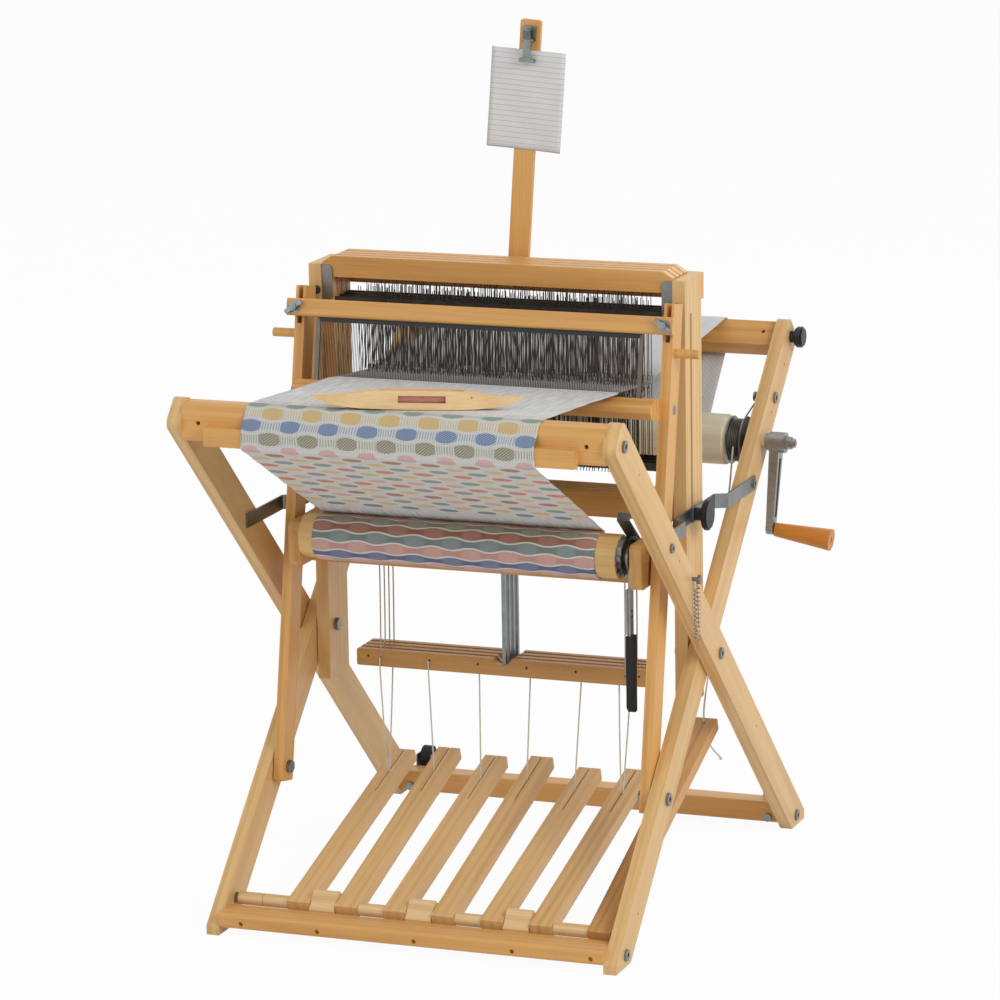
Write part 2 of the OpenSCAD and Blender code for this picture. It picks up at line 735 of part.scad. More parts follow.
// Sweeps an eight-sided tube along points that climb steadily
module tube(points, r) {
    n = len(points);
    ring = [for (p = points, a = [0:45:315]) [p[0] + r * cos(a), p[1] + r * sin(a), p[2]]];
    sides = [for (i = [0:n - 2], j = [0:7])
        [i * 8 + j, i * 8 + (j + 1) % 8, (i + 1) * 8 + (j + 1) % 8, (i + 1) * 8 + j]];
    polyhedron(ring, concat(sides, [[7, 6, 5, 4, 3, 2, 1, 0]], [[for (j = [0:7]) (n - 1) * 8 + j]]));
}

module brake_cord() {
    color("White") placed() tube(brake_cord_route, cord_r);
}

// Knobs whose studs draw the back beam tight between the legs
module back_beam_knobs() {
    color(black) placed() both_sides() along_b() translate([0, 0, top_bolt_s]) {
        rod_x(leg_b_in - 28, leg_b_out + 2, 4);
        rod_x(leg_b_out + 0.3, leg_b_out + 8, 8.5);
        rod_x(leg_b_out + 8, leg_b_out + 10.5, 13);
        rod_x(leg_b_out + 10.5, leg_b_out + 17, 15);
        rod_x(leg_b_out + 17, leg_b_out + 19.5, 12.5);
    }
}

// Distance of the straps' joggle from the castle's bolts
joggle_y = 84;

// A strap outline in (X, Y) along its length: flat, then a joggle, then flat again
module strap_profile(x_leg, x_slot, y_leg) {
    dir = y_leg > 0 ? 1 : -1;
    y1 = dir * (joggle_y + 8);
    y2 = dir * joggle_y;
    ye = y_leg + dir * 10;
    polygon([[x_slot, -dir * 10], [x_slot, y2], [x_leg, y1], [x_leg, ye],
        [x_leg + strap_t, ye], [x_leg + strap_t, y1 - dir * 1.6],
        [x_slot + strap_t, y2 - dir * 1.6], [x_slot + strap_t, -dir * 10]]);
}

module fold_strap(x_leg, x_slot, y_leg) {
    difference() {
        translate([0, 0, strap_z - strap_w / 2]) linear_extrude(strap_w) strap_profile(x_leg, x_slot, y_leg);
        translate([0, 0, strap_z]) rod_x(castle_x - cut, leg_a_out, 4);
    }
}

// The front straps pivot on the inner faces of the front legs
module fold_straps_front() {
    color(zinc) placed() both_sides() {
        fold_strap(leg_a_in - strap_t - 0.2, castle_x + 0.3, -strap_y);
        translate([0, -strap_y, strap_z]) {
            rod_x(leg_a_in - 0.3, leg_a_out + 0.2, 3);
            bolt_head_x(leg_a_out + 0.2, 6.5, 3);
        }
    }
}

// The rear straps pivot on the outer faces of the rear legs
module fold_straps_rear() {
    color(zinc) placed() both_sides() {
        fold_strap(leg_b_out + 0.2, castle_x + strap_t + 0.6, strap_y);
        translate([0, strap_y, strap_z]) {
            rod_x(leg_b_in - 0.1, leg_b_out + 0.3, 3);
            bolt_head_x(leg_b_out + 0.2 + strap_t, 6, rivet_h);
        }
    }
}

// Knob outside the straps and slider inside the slot; the straps pass between them
module fold_knobs() {
    outer = castle_x + 2 * strap_t + 1.2;
    color(black) placed() both_sides() translate([0, 0, strap_z]) {
        rod_x(outer, outer + 12, 9);
        rod_x(outer + 12, outer + 14, fold_knob_r - 2);
        rod_x(outer + 14, outer + 18, fold_knob_r);
        rod_x(outer + 18, outer + 20, fold_knob_r - 2.5);
        rod_x(post_in + 1, post_in + 5.4, 8.5);
        rod_x(post_in + 5.4, castle_x, slot_w / 2 - 0.3);
    }
}

module beater_pivots() {
    color(zinc) placed() both_sides() translate([0, beater_y, beater_z]) {
        rod_x(sword_in - 0.3, leg_b_out + 0.2, bolt_r);
        rod_x(sword_out + 0.2, leg_b_in - 0.2, washer_r - 2);
        bolt_head_x(leg_b_out + 0.2, 9, 3.5);
        translate([sword_in - 0.3 - nut_h, 0, 0]) rotate([0, 90, 0]) cylinder(h = nut_h, r = 9, $fn = 6);
    }
}

peg_s = handtree_s - 36;
race_bolt_s = race_top - race_h / 2;

module sword(side) {
    fork_w = 6.6;
    color(maple) placed() on_side(side) along_beater() {
        difference() {
            board_x(sword_in, sword_t) translate([-sword_w / 2, -20])
                round_rect(sword_w, sword_top + 20, 3);
            rod_x(sword_in - cut, sword_out + cut, bolt_r + run_gap);
            // Sinking for the race bar's bolt head
            translate([0, 4, race_bolt_s]) rod_x(sword_out - 1.2, sword_out + cut, 7 + run_gap);
            // Fork that the wing bolt slides in
            translate([sword_out - sword_t / 2 - fork_w / 2, -sword_w, handtree_s - 22])
                cube([fork_w, 2 * sword_w, 80]);
            translate([0, -6, peg_s]) rod_x(sword_out - 11, sword_out + cut, peg_r);
        }
        // Dowel peg
        translate([0, -6, peg_s]) rod_x(sword_out - 10.9, peg_x, peg_r - 0.05);
    }
}

handtree_t = 19.5;
reed_y = -28;
reed_t = 4;
handtree_bottom = handtree_s - handtree_h / 2;

module handtree() {
    color(maple) placed() along_beater() difference() {
        board_x(-handtree_x, 2 * handtree_x)
            translate([-sword_w / 2 - handtree_t, handtree_s - handtree_h / 2])
                round_rect(handtree_t - 0.02, handtree_h, 4);
        // Groove for the top of the reed
        translate([-reed_x - 1, reed_y - reed_t / 2 - 0.4, handtree_bottom - cut])
            cube([2 * reed_x + 2, reed_t + 0.8, 6 + cut]);
        both_sides() translate([sword_out - sword_t / 2, 0, handtree_s])
            rod_y(-sword_w / 2 - handtree_t - cut, -sword_w / 2 + cut, 3.2);
    }
}

module race_bar() {
    front = -54;
    back = sword_w / 2;
    color(maple) placed() along_beater() difference() {
        board_x(-sword_in + 0.02, 2 * sword_in - 0.04) polygon([
            [back, race_top - race_h], [back, race_top - 4], [back - 4, race_top],
            [reed_y - 8, race_top], [front + 2, race_top - 9], [front, race_top - 12],
            [front, race_top - race_h + 8], [front + 8, race_top - race_h]]);
        translate([-reed_x - 1, reed_y - reed_t / 2 - 0.4, race_top - 9])
            cube([2 * reed_x + 2, reed_t + 0.8, 9 + cut]);
    }
}

// The reed's rim; its dents stand in the window
module reed() {
    z0 = race_top - 8.6;
    z1 = handtree_bottom + 5.6;
    color("DimGray") placed() along_beater() board_y(reed_y - reed_t / 2, reed_t) difference() {
        translate([-reed_x, z0]) square([2 * reed_x, z1 - z0]);
        translate([-reed_x + 6, z0 + 7]) square([2 * reed_x - 12, z1 - z0 - 19]);
    }
}

module beater_hardware() {
    front = -sword_w / 2 - handtree_t;
    color(zinc) placed() both_sides() along_beater() {
        // Wing bolt with its washer, wings in front and square head behind
        translate([sword_out - sword_t / 2, 0, handtree_s]) {
            rod_y(front - 10, sword_w / 2 + 4, 3);
            rod_y(front - 1.5, front, 8.5);
            rod_y(front - 9, front - 1.5, 5);
            for (tilt = [35, 215]) rotate([0, tilt, 0]) translate([3, front - 7, -3]) cube([11, 3, 6]);
            translate([-5, sword_w / 2, -5]) cube([10, 4, 10]);
        }
        // Race bar bolt heads sunk in the outer faces of the swords
        translate([0, 4, race_bolt_s]) rod_x(sword_out - 1.2, sword_out + 0.05, 7);
    }
}

module cloth_beam() {
    left = -post_in + block_t + 0.5;
    color(maple) placed() translate([0, cloth_beam_y, cloth_beam_z]) {
        rod_x(left, 219, cloth_beam_r);
        // Journals in the two blocks
        rod_x(-post_in + 3, left, 8);
        rod_x(219, post_in - 3, 8);
    }
}

ratchet_r = 28;

// Saw teeth around the cloth beam's right end
module ratchet_wheel() {
    step = 360 / ratchet_teeth;
    color(zinc) placed() translate([219.2, cloth_beam_y, cloth_beam_z]) rotate([0, 90, 0])
        linear_extrude(7) difference() {
            polygon([for (i = [0:ratchet_teeth - 1], e = [0, 1])
                (ratchet_r - e * 5) * [cos(step * (i + e * 0.98)), sin(step * (i + e * 0.98))]]);
            circle(8.1);
            for (i = [0:ratchet_teeth - 1])
                rotate(step * (i + 0.35)) translate([ratchet_r - 9, 0]) circle(1.6);
        }
}

module cloth_roll() {
    color("RosyBrown") placed() translate([0, cloth_beam_y, cloth_beam_z]) difference() {
        rod_x(cloth_shift - cloth_x, cloth_shift + cloth_x, cloth_roll_r);
        rod_x(cloth_shift - cloth_x - cut, cloth_shift + cloth_x + cut, cloth_beam_r + 0.05);
    }
}

lever_len = 108;

// Flat lever that turns on the cloth beam's journal, with a short pawl plate beside it
module ratchet_lever() {
    color(zinc) placed() translate([0, cloth_beam_y, cloth_beam_z]) difference() {
        union() {
            board_x(230, 3) {
                circle(17);
                translate([-6.5, -lever_len]) square([13, lever_len]);
            }
            board_x(226.8, 2.6) {
                translate([-7, -lever_len + 2]) square([8, 62]);
            }
            translate([0, -3, -60]) rod_x(227, 232, 2.5);
        }
        rod_x(229, 234, 8 + run_gap);
        for (s = [24, 32, 74, 82]) translate([0, 0, -s]) rod_x(225, 234, 2);
    }
}

grip_h = 106;

module lever_grip() {
    color(black) placed() translate([0, cloth_beam_y, cloth_beam_z]) difference() {
        translate([226.5, -8, -lever_len - grip_h]) cube([10, 16, grip_h]);
        translate([226, -9, -lever_len - grip_h]) rotate([45, 0, 0]) translate([-1, -6, -6])
            cube([12, 12, 12]);
    }
}

pawl_y = cloth_beam_y + 34;
pawl_z = cloth_beam_z + 12;
pawl_x0 = 219.5;
pawl_x1 = post_in - block_t - 1.5;
pawl_len = 68;
// The pawl's plate passes this far outside the ratchet's teeth
pawl_room = 2.4;

// Folded steel pawl: its nose stands over the ratchet, its tab stands up in front
module pawl() {
    reach = sqrt(pow(pawl_y - cloth_beam_y, 2) + pow(pawl_z - cloth_beam_z, 2));
    toward = atan2(cloth_beam_z - pawl_z, cloth_beam_y - pawl_y) + 360;
    tilt = toward - asin((ratchet_r + pawl_room) / reach);
    foot = sqrt(reach * reach - pow(ratchet_r + pawl_room, 2));
    color(zinc) placed() translate([0, pawl_y, pawl_z]) difference() {
        union() {
            board_x(pawl_x0, pawl_x1 - pawl_x0) rotate(tilt) {
                translate([0, -3]) square([pawl_len, 3]);
                translate([pawl_len - 3, -12]) square([3, 12]);
                polygon([[foot - 5, -0.5], [foot, pawl_room - soft_gap], [foot + 2, -0.5]]);
            }
            rod_x(pawl_x0, pawl_x1, 5.5);
        }
        rod_x(pawl_x0 - cut, pawl_x1 + cut, 3 + run_gap);
    }
}

module warp_beam() {
    color("Cornsilk") placed() translate([0, warp_beam_y, warp_beam_z]) {
        rod_x(-leg_b_in + 4, 247, warp_beam_r);
        difference() {
            rod_x(-warp_paper_x, warp_paper_x, warp_roll_r);
            rod_x(-warp_paper_x - cut, warp_paper_x + cut, warp_beam_r);
        }
        // Journals in the rear legs
        rod_x(-leg_b_out, -leg_b_in + 4, 8);
        rod_x(247, journal_end_x, 8);
    }
}

// Flanged drum that the brake cable is wound on
module brake_drum() {
    color(zinc) placed() translate([0, warp_beam_y, warp_beam_z]) difference() {
        union() {
            rod_x(247.2, 269, 28);
            rod_x(247.2, 249.2, 34);
            rod_x(267, 269, 34);
        }
        rod_x(246, 271, 8.1);
    }
}

module crank_arm() {
    color("Silver") placed() translate([0, warp_beam_y, warp_beam_z]) {
        difference() {
            union() {
                rod_x(crank_x, crank_arm_x + 5, 12);
                rod_x(crank_arm_x + 5, crank_end_x, 14.5);
                // The arm leans in and narrows from the hub to the grip
                hull() {
                    translate([crank_arm_x + 6.5, -12, -12]) cube([crank_arm_t + 3.5, 24, 4]);
                    translate([crank_arm_x, 0, -crank_throw]) rod_x(0, crank_arm_t, 9);
                }
            }
            rod_x(crank_x - cut, journal_end_x, 8.02);
            // Channel along the outer face of the arm
            hull() for (e = [[crank_arm_t + 5, -24], [crank_arm_t - 2.5, 16 - crank_throw]])
                translate([crank_arm_x + e[0], -4.5, e[1]]) cube([6, 9, 1]);
        }
        // Acorn nut
        translate([crank_end_x, 0, 0]) {
            rotate([0, 90, 0]) cylinder(h = 9, r = 9, $fn = 6);
            rod_x(9, 13, 6.5);
            rod_x(13, 14.5, 4);
        }
        // Bolt that the grip spins on
        translate([crank_arm_x, 0, -crank_throw]) {
            rotate([0, grip_tilt, 0]) rod_x(1, grip_start + grip_len - 1, 4);
            rod_x(-1, 0.1, 7);
        }
    }
}

module crank_grip() {
    color("Peru") placed() translate([crank_arm_x, warp_beam_y, warp_beam_z - crank_throw])
        rotate([0, 90 + grip_tilt, 0]) translate([0, 0, grip_start]) difference() {
            cylinder(h = grip_len, r1 = grip_r1, r2 = grip_r2);
            translate([0, 0, -cut]) cylinder(h = grip_len + 2 * cut, r = 4 + run_gap);
        }
}

kerf_w = 1.6;
kerf_len = 118;
tie_back = 64;
// Each treadle rests a little above or below the common slope, as its cords are tied
treadle_rest = [0.1, 1.4, 0.4, 1.1, -0.6, 0];

// One treadle board on the axle, sloping up to the back, with a cord hole near its end
module treadle_board(x, len, slope, hole_back) {
    color(maple) placed() translate([0, axle_y, axle_z]) rotate([slope, 0, 0]) difference() {
        board_x(x - treadle_w / 2, treadle_w)
            translate([-treadle_t / 2, -treadle_t / 2]) round_rect(len + treadle_t / 2, treadle_t, 1.5);
        rod_x(x - treadle_w, x + treadle_w, axle_r + run_gap);
        translate([x, len - hole_back, -treadle_t]) cylinder(h = 2 * treadle_t, r = 2);
        children();
    }
}

module treadle(k) {
    x = treadle_x(k);
    treadle_board(x, treadle_len, treadle_slope + treadle_rest[k - 1], tie_back)
        translate([x - kerf_w / 2, treadle_len - kerf_len, -treadle_t])
            cube([kerf_w, kerf_len + cut, 2 * treadle_t]);
}

module brake_treadle() {
    treadle_board(brake_x, brake_len, brake_slope, 12);
}

shaft_x = castle_x - board_t - 0.8;
upper_bar_z = shaft_h - shaft_top_h - 39;
lower_bar_z = shaft_bottom_h + 34;
heddle_bar_h = 11;
heddle_bar_t = 2;
shaft_cut_w = 14;
shaft_cut_h = 9;

// Wooden frame with two steel heddle bars between its stiles
module shaft(k) {
    z1 = shaft_h - shaft_top_h;
    color(maple) placed() translate([0, shaft_y(k) - shaft_t / 2, shaft_z]) {
        board_y(0, shaft_t) difference() {
            translate([-shaft_x, 0]) round_rect(2 * shaft_x, shaft_h, 6);
            translate([-shaft_x + shaft_side_w, shaft_bottom_h])
                square([2 * (shaft_x - shaft_side_w), z1 - shaft_bottom_h]);
            // The upper corners are cut off
            for (side = [-1, 1]) polygon([[side * shaft_x, shaft_h - shaft_cut_h],
                [side * (shaft_x - shaft_cut_w), shaft_h], [side * (shaft_x + cut), shaft_h + cut]]);
        }
        for (z = [upper_bar_z, lower_bar_z])
            translate([-shaft_x + shaft_side_w, shaft_t / 2 - heddle_bar_t / 2, z])
                cube([2 * (shaft_x - shaft_side_w), heddle_bar_t, heddle_bar_h]);
    }
}

// Lamm with a scallop at its middle and tie-up holes along it
module lamm(k) {
    color(maple) placed() translate([0, shaft_y(k) - lamm_t / 2, lamm_z]) board_y(0, lamm_t) difference() {
        translate([-lamm_x, 0]) round_rect(2 * lamm_x, lamm_h, 2.5);
        translate([0, lamm_h + scallop_up]) circle(scallop_r);
        for (x = [-200, -180.5, -108, -36, 36, 108, 180.5, 200]) translate([x, lamm_h / 2 + 2]) circle(1.8);
    }
}

shuttle_x = 18;
shuttle_y = -362;
// The shuttle lies along the cloth, which drops a little towards the fell
cloth_fall = atan2(cloth_top_z - fell_z, fell_y - breast_y - breast_d / 2 + 8);
shuttle_z = cloth_top_z + web_t + soft_gap - (shuttle_y - breast_y - breast_d / 2 + 8) * tan(cloth_fall);
shuttle_turn = 19;
shuttle_h = 24;
// Height that the tips turn up to, and how far the top dips towards them
shuttle_rise = 13;
shuttle_drop = 7.5;
bobbin_r = 9.2;
bobbin_z = 14.6;
// Ends of the window, with the bobbin's yarn in its left part
window_x0 = -49;
window_x1 = 62;
window_wall = bobbin_r + 0.6;
yarn_end = 44;

// Share of the way down to the tip, with a smooth start and end
function shuttle_dip(f) = let (x = min(1, max(0, (abs(f) - 0.34) / 0.5))) x * x * (3 - 2 * x);

// Boat shuttle: upturned tips, a window for the bobbin and a slot in its front side
module shuttle() {
    half = shuttle_len / 2;
    plan = shuttle_w / 2;
    steps = 10;
    ahead = [for (i = [-steps:steps]) i / steps];
    back = [for (i = [steps:-1:-steps]) i / steps];
    color(maple) placed() translate([shuttle_x, shuttle_y, shuttle_z])
        rotate([-cloth_fall, 0, 0]) rotate([0, 0, shuttle_turn]) {
            difference() {
                intersection() {
                    linear_extrude(shuttle_h) polygon(concat(
                        [for (f = ahead) [half * f, plan * (1 - f * f) + 0.8]],
                        [for (f = back) [half * f, -plan * (1 - f * f) - 0.8]]));
                    board_y(-shuttle_w, 2 * shuttle_w) polygon(concat(
                        [for (f = ahead) [half * f, shuttle_rise * pow(abs(f), 5)]],
                        [for (f = back) [half * f, shuttle_h - shuttle_drop * shuttle_dip(f)]]));
                }
                // The window ends in a round beyond the yarn
                translate([window_x0, -window_wall, 4])
                    cube([window_x1 - window_wall - window_x0, 2 * window_wall, shuttle_h]);
                translate([window_x1 - window_wall, 0, 4]) cylinder(h = shuttle_h, r = window_wall);
                translate([-24, -shuttle_w, 8.5]) cube([62, shuttle_w, 9.5]);
                translate([half * 0.52, 0, 16]) rod_y(-shuttle_w, 0, 1);
            }
            // Bobbin on its wire
            translate([0, 0, bobbin_z]) rod_x(window_x0 + 0.1, window_x1 - 0.1, 1.2);
            translate([0, 0, bobbin_z]) rod_x(window_x0 + 1, yarn_end, bobbin_r);
        }
}

castle_post(-1);  // castle_post_left
castle_post(1);  // castle_post_right
castle_rails();
castle_hardware();
cloth_beam_blocks();
mast();
note_sheet();
clip_jaw();
cloth_web();
warp_web();
leg_a(-1);  // leg_a_left
leg_a(1);  // leg_a_right
breast_beam();
rear_lower_beam();
front_frame_hardware();
transport_wheels();
leg_b(-1);  // leg_b_left
leg_b(1);  // leg_b_right
back_beam();
front_lower_beam();
treadle_blocks();
rear_frame_hardware();
brake_cord();
back_beam_knobs();
fold_straps_front();
fold_straps_rear();
fold_knobs();
beater_pivots();
sword(-1);  // sword_left
sword(1);  // sword_right
handtree();
race_bar();
reed();
beater_hardware();
cloth_beam();
ratchet_wheel();
cloth_roll();
ratchet_lever();
lever_grip();
pawl();
warp_beam();
brake_drum();
crank_arm();
crank_grip();
treadle(1);  // treadle_1
treadle(2);  // treadle_2
treadle(3);  // treadle_3
treadle(4);  // treadle_4
treadle(5);  // treadle_5
treadle(6);  // treadle_6
brake_treadle();
shaft(1);  // shaft_1
shaft(2);  // shaft_2
shaft(3);  // shaft_3
shaft(4);  // shaft_4
lamm(1);  // lamm_1
lamm(2);  // lamm_2
lamm(3);  // lamm_3
lamm(4);  // lamm_4
shuttle();
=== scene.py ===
"""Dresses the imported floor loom: materials, cloth, warp, cords, heddles and small fittings.

Places are written in millimetres in the source's own frame: X from the loom's middle, Y from the
leg pivot and Z from the floor. at() turns them into the row's frame, in metres.
"""
import math

import bmesh
import bpy
import numpy as np
from mathutils import Matrix, Vector


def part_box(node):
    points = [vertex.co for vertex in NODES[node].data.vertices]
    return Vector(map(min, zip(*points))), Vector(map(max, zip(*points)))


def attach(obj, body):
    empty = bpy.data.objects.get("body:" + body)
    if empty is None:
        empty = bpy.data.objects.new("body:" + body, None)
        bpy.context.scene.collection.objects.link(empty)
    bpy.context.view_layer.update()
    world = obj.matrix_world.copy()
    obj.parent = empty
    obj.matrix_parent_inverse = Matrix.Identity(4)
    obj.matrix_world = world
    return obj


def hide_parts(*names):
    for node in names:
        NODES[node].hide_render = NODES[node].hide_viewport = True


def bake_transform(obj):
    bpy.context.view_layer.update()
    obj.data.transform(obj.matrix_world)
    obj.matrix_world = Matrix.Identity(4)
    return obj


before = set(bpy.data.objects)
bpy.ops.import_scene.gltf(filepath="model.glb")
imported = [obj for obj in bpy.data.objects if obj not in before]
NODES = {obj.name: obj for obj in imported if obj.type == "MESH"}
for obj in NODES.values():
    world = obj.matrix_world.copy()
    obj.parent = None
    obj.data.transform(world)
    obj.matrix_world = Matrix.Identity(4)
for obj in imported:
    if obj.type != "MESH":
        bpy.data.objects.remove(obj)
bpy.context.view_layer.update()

# The row's frame is moved along X from the source's, whose middle is the middle of the castle rails
RAILS_LOW, RAILS_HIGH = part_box("castle_rails")
SHIFT = (RAILS_LOW.x + RAILS_HIGH.x) / 2 * 1000


def at(x, y, z):
    """A point of the source's frame, in metres in the row's frame."""
    return ((x + SHIFT) / 1000, y / 1000, z / 1000)


# Camera: where the photograph was taken from, with its focal length in the photograph's pixels
FOCAL_PX = 4860.55
PHOTO_PX = 1000
SENSOR_MM = 36
CAMERA_AT = (2308.31, -6110.78, 1992.62)
AZIMUTH, ELEVATION, ROLL = math.radians(20.74), math.radians(12.57), math.radians(-0.93)


def make_camera():
    back = Vector((math.sin(AZIMUTH) * math.cos(ELEVATION),
                   -math.cos(AZIMUTH) * math.cos(ELEVATION), math.sin(ELEVATION)))
    side = (-back).cross(Vector((0, 0, 1))).normalized()
    up = side.cross(-back)
    right = math.cos(ROLL) * side + math.sin(ROLL) * up
    top = -math.sin(ROLL) * side + math.cos(ROLL) * up
    data = bpy.data.cameras.new("camera")
    data.sensor_width = SENSOR_MM
    data.lens = FOCAL_PX / PHOTO_PX * SENSOR_MM
    data.clip_end = 60
    camera = bpy.data.objects.new("camera", data)
    bpy.context.scene.collection.objects.link(camera)
    turn = Matrix((right, top, back)).transposed().to_4x4()
    camera.matrix_world = Matrix.Translation(Vector(at(*CAMERA_AT))) @ turn
    bpy.context.scene.camera = camera


make_camera()


# Materials
def linear(rgb):
    """A colour given in sRGB steps of 0 to 255, as linear light."""
    out = []
    for c in rgb:
        c = c / 255
        out.append(c / 12.92 if c <= 0.04045 else ((c + 0.055) / 1.055) ** 2.4)
    return (*out, 1)


class Tree:
    """Short names for building a node material."""

    def __init__(self, name):
        self.mat = bpy.data.materials.new(name)
        self.mat.use_nodes = True
        self.nodes = self.mat.node_tree.nodes
        self.links = self.mat.node_tree.links
        self.shader = self.nodes["Principled BSDF"]

    def add(self, kind, **values):
        node = self.nodes.new(kind)
        for key, value in values.items():
            setattr(node, key, value)
        return node

    def feed(self, socket, value):
        if isinstance(value, bpy.types.NodeSocket):
            self.links.new(value, socket)
        else:
            socket.default_value = value

    def math(self, op, a, b=0.0):
        node = self.add("ShaderNodeMath", operation=op)
        self.feed(node.inputs[0], a)
        self.feed(node.inputs[1], b)
        return node.outputs[0]

    def mix(self, share, a, b, blend="MIX"):
        node = self.add("ShaderNodeMix", data_type="RGBA", blend_type=blend)
        self.feed(node.inputs[0], share)
        self.feed(node.inputs[6], a)
        self.feed(node.inputs[7], b)
        return node.outputs[2]

    def ramp(self, value, stops, mode="LINEAR"):
        node = self.add("ShaderNodeValToRGB")
        node.color_ramp.interpolation = mode
        elements = node.color_ramp.elements
        while len(elements) < len(stops):
            elements.new(0.5)
        for element, (place, colour) in zip(elements, stops):
            element.position = place
            element.color = colour
        self.feed(node.inputs[0], value)
        return node.outputs[0]

    def noise(self, vector, scale, detail=3.0, rough=0.55, distort=0.0):
        node = self.add("ShaderNodeTexNoise")
        self.feed(node.inputs["Vector"], vector)
        node.inputs["Scale"].default_value = scale
        node.inputs["Detail"].default_value = detail
        node.inputs["Roughness"].default_value = rough
        node.inputs["Distortion"].default_value = distort
        return node.outputs["Fac"]

    def mapped(self, vector, scale=(1, 1, 1), turn=(0, 0, 0), move=(0, 0, 0)):
        node = self.add("ShaderNodeMapping")
        self.feed(node.inputs["Vector"], vector)
        node.inputs["Scale"].default_value = scale
        node.inputs["Rotation"].default_value = turn
        node.inputs["Location"].default_value = move
        return node.outputs[0]

    def place(self):
        return self.add("ShaderNodeTexCoord").outputs["Object"]

    def uv(self):
        return self.add("ShaderNodeTexCoord").outputs["UV"]

    def bump(self, height, distance, strength=1.0):
        node = self.add("ShaderNodeBump")
        node.inputs["Strength"].default_value = strength
        node.inputs["Distance"].default_value = distance
        self.feed(node.inputs["Height"], height)
        self.links.new(node.outputs[0], self.shader.inputs["Normal"])

    def colour(self, value):
        self.feed(self.shader.inputs["Base Color"], value)

    def rough(self, value):
        self.feed(self.shader.inputs["Roughness"], value)

    def set(self, **values):
        for key, value in values.items():
            self.shader.inputs[key.replace("_", " ")].default_value = value


def wood(name, light, dark, turn, seed):
    """Fine-grained wood whose grain runs along X before the turn."""
    t = Tree(name)
    base = t.mapped(t.place(), turn=turn, move=(seed * 1.7, seed * 0.9, seed * 2.3))
    long_grain = t.mapped(base, scale=(1.6, 26, 26))
    broad = t.noise(long_grain, 1.1, 4, 0.6, 0.5)
    fine = t.noise(t.mapped(base, scale=(9, 420, 420)), 1.0, 2, 0.7)
    cloud = t.noise(t.mapped(base, scale=(2.5, 5, 5)), 1.4, 2)
    rings = t.add("ShaderNodeTexWave", wave_type="BANDS", bands_direction="Y")
    t.feed(rings.inputs["Vector"], t.mapped(base, scale=(0.9, 15, 9)))
    rings.inputs["Scale"].default_value = 1.6
    rings.inputs["Distortion"].default_value = 5.5
    rings.inputs["Detail"].default_value = 2.5
    rings.inputs["Detail Scale"].default_value = 0.8
    share = t.math("ADD", t.math("MULTIPLY", broad, 0.75), t.math("MULTIPLY", rings.outputs["Fac"], 0.22))
    share = t.math("ADD", share, t.math("MULTIPLY", cloud, 0.25))
    bright = [min(255, c * 1.03) for c in light]
    tone = t.ramp(share, [(0.30, linear(dark)), (0.62, linear(light)), (0.95, linear(bright))])
    streak = t.ramp(fine, [(0.38, (0.80, 0.72, 0.62, 1)), (0.52, (1, 1, 1, 1))])
    t.colour(t.mix(0.32, tone, streak, "MULTIPLY"))
    t.rough(t.math("ADD", 0.37, t.math("MULTIPLY", fine, 0.16)))
    t.bump(t.math("ADD", fine, t.math("MULTIPLY", broad, 0.6)), 0.00012, 0.5)
    t.set(Specular_IOR_Level=0.42, Coat_Weight=0.10, Coat_Roughness=0.30)
    return t.mat


def metal(name, tint, rough=0.38, speckle=0.10, grain=(60, 60, 60)):
    t = Tree(name)
    place = t.place()
    soft = t.noise(t.mapped(place, scale=grain), 1.0, 4, 0.6)
    spots = t.noise(place, 900, 2, 0.6)
    shade = t.ramp(soft, [(0.25, linear([c * (1 - speckle) for c in tint])), (0.75, linear(tint))])
    t.colour(shade)
    t.rough(t.math("ADD", rough - 0.08, t.math("MULTIPLY", soft, 0.16)))
    t.bump(spots, 0.00004, 0.35)
    t.set(Metallic=1.0)
    return t.mat


def plastic(name, tint, rough=0.5, grain=1400, depth=0.00006):
    t = Tree(name)
    place = t.place()
    fine = t.noise(place, grain, 2, 0.5)
    soft = t.noise(place, 35, 3, 0.5)
    t.colour(t.ramp(soft, [(0.3, linear(tint)), (0.8, linear([min(255, c * 1.25 + 4) for c in tint]))]))
    t.rough(t.math("ADD", rough - 0.06, t.math("MULTIPLY", soft, 0.12)))
    t.bump(fine, depth, 0.4)
    t.set(Specular_IOR_Level=0.45)
    return t.mat


def paper(name):
    """Cream paper wound on the warp beam, with faint creases along it."""
    t = Tree(name)
    place = t.place()
    crease = t.noise(t.mapped(place, scale=(6, 70, 70)), 1.0, 3, 0.6)
    fibre = t.noise(place, 700, 2, 0.6)
    t.colour(t.ramp(crease, [(0.3, linear((214, 204, 178))), (0.7, linear((232, 224, 200)))]))
    t.rough(0.8)
    t.bump(t.math("ADD", crease, t.math("MULTIPLY", fibre, 0.3)), 0.0004, 0.4)
    return t.mat


MAPLE_LIGHT, MAPLE_DARK = (226, 186, 126), (206, 160, 98)
# The cross pieces are a warmer wood than the legs and posts
WARM_LIGHT, WARM_DARK = (222, 168, 96), (200, 142, 72)
# How far the legs and the beater lean from the vertical
LEG_LEAN = math.radians(46.8)
BEATER_LEAN = math.radians(10.6)
# The beater's pivot as (y, z), and the height along the swords where the reed's binding starts
BEATER_PIVOT = (-172.04, 180.45)
BINDING_FROM = 612.0
# How far the treadles rise for each millimetre that they run back
TREADLE_RISE, BRAKE_RISE = 0.277, 0.378
# Mapping turns that lay the grain along an axis
ALONG_X = (0, 0, 0)
ALONG_Y = (0, 0, math.radians(90))
ALONG_Z = (0, math.radians(90), 0)


def turned_to(y, z):
    """Mapping turn that lays the grain along a direction in the YZ plane."""
    return (-math.atan2(z, y), 0, math.radians(-90))


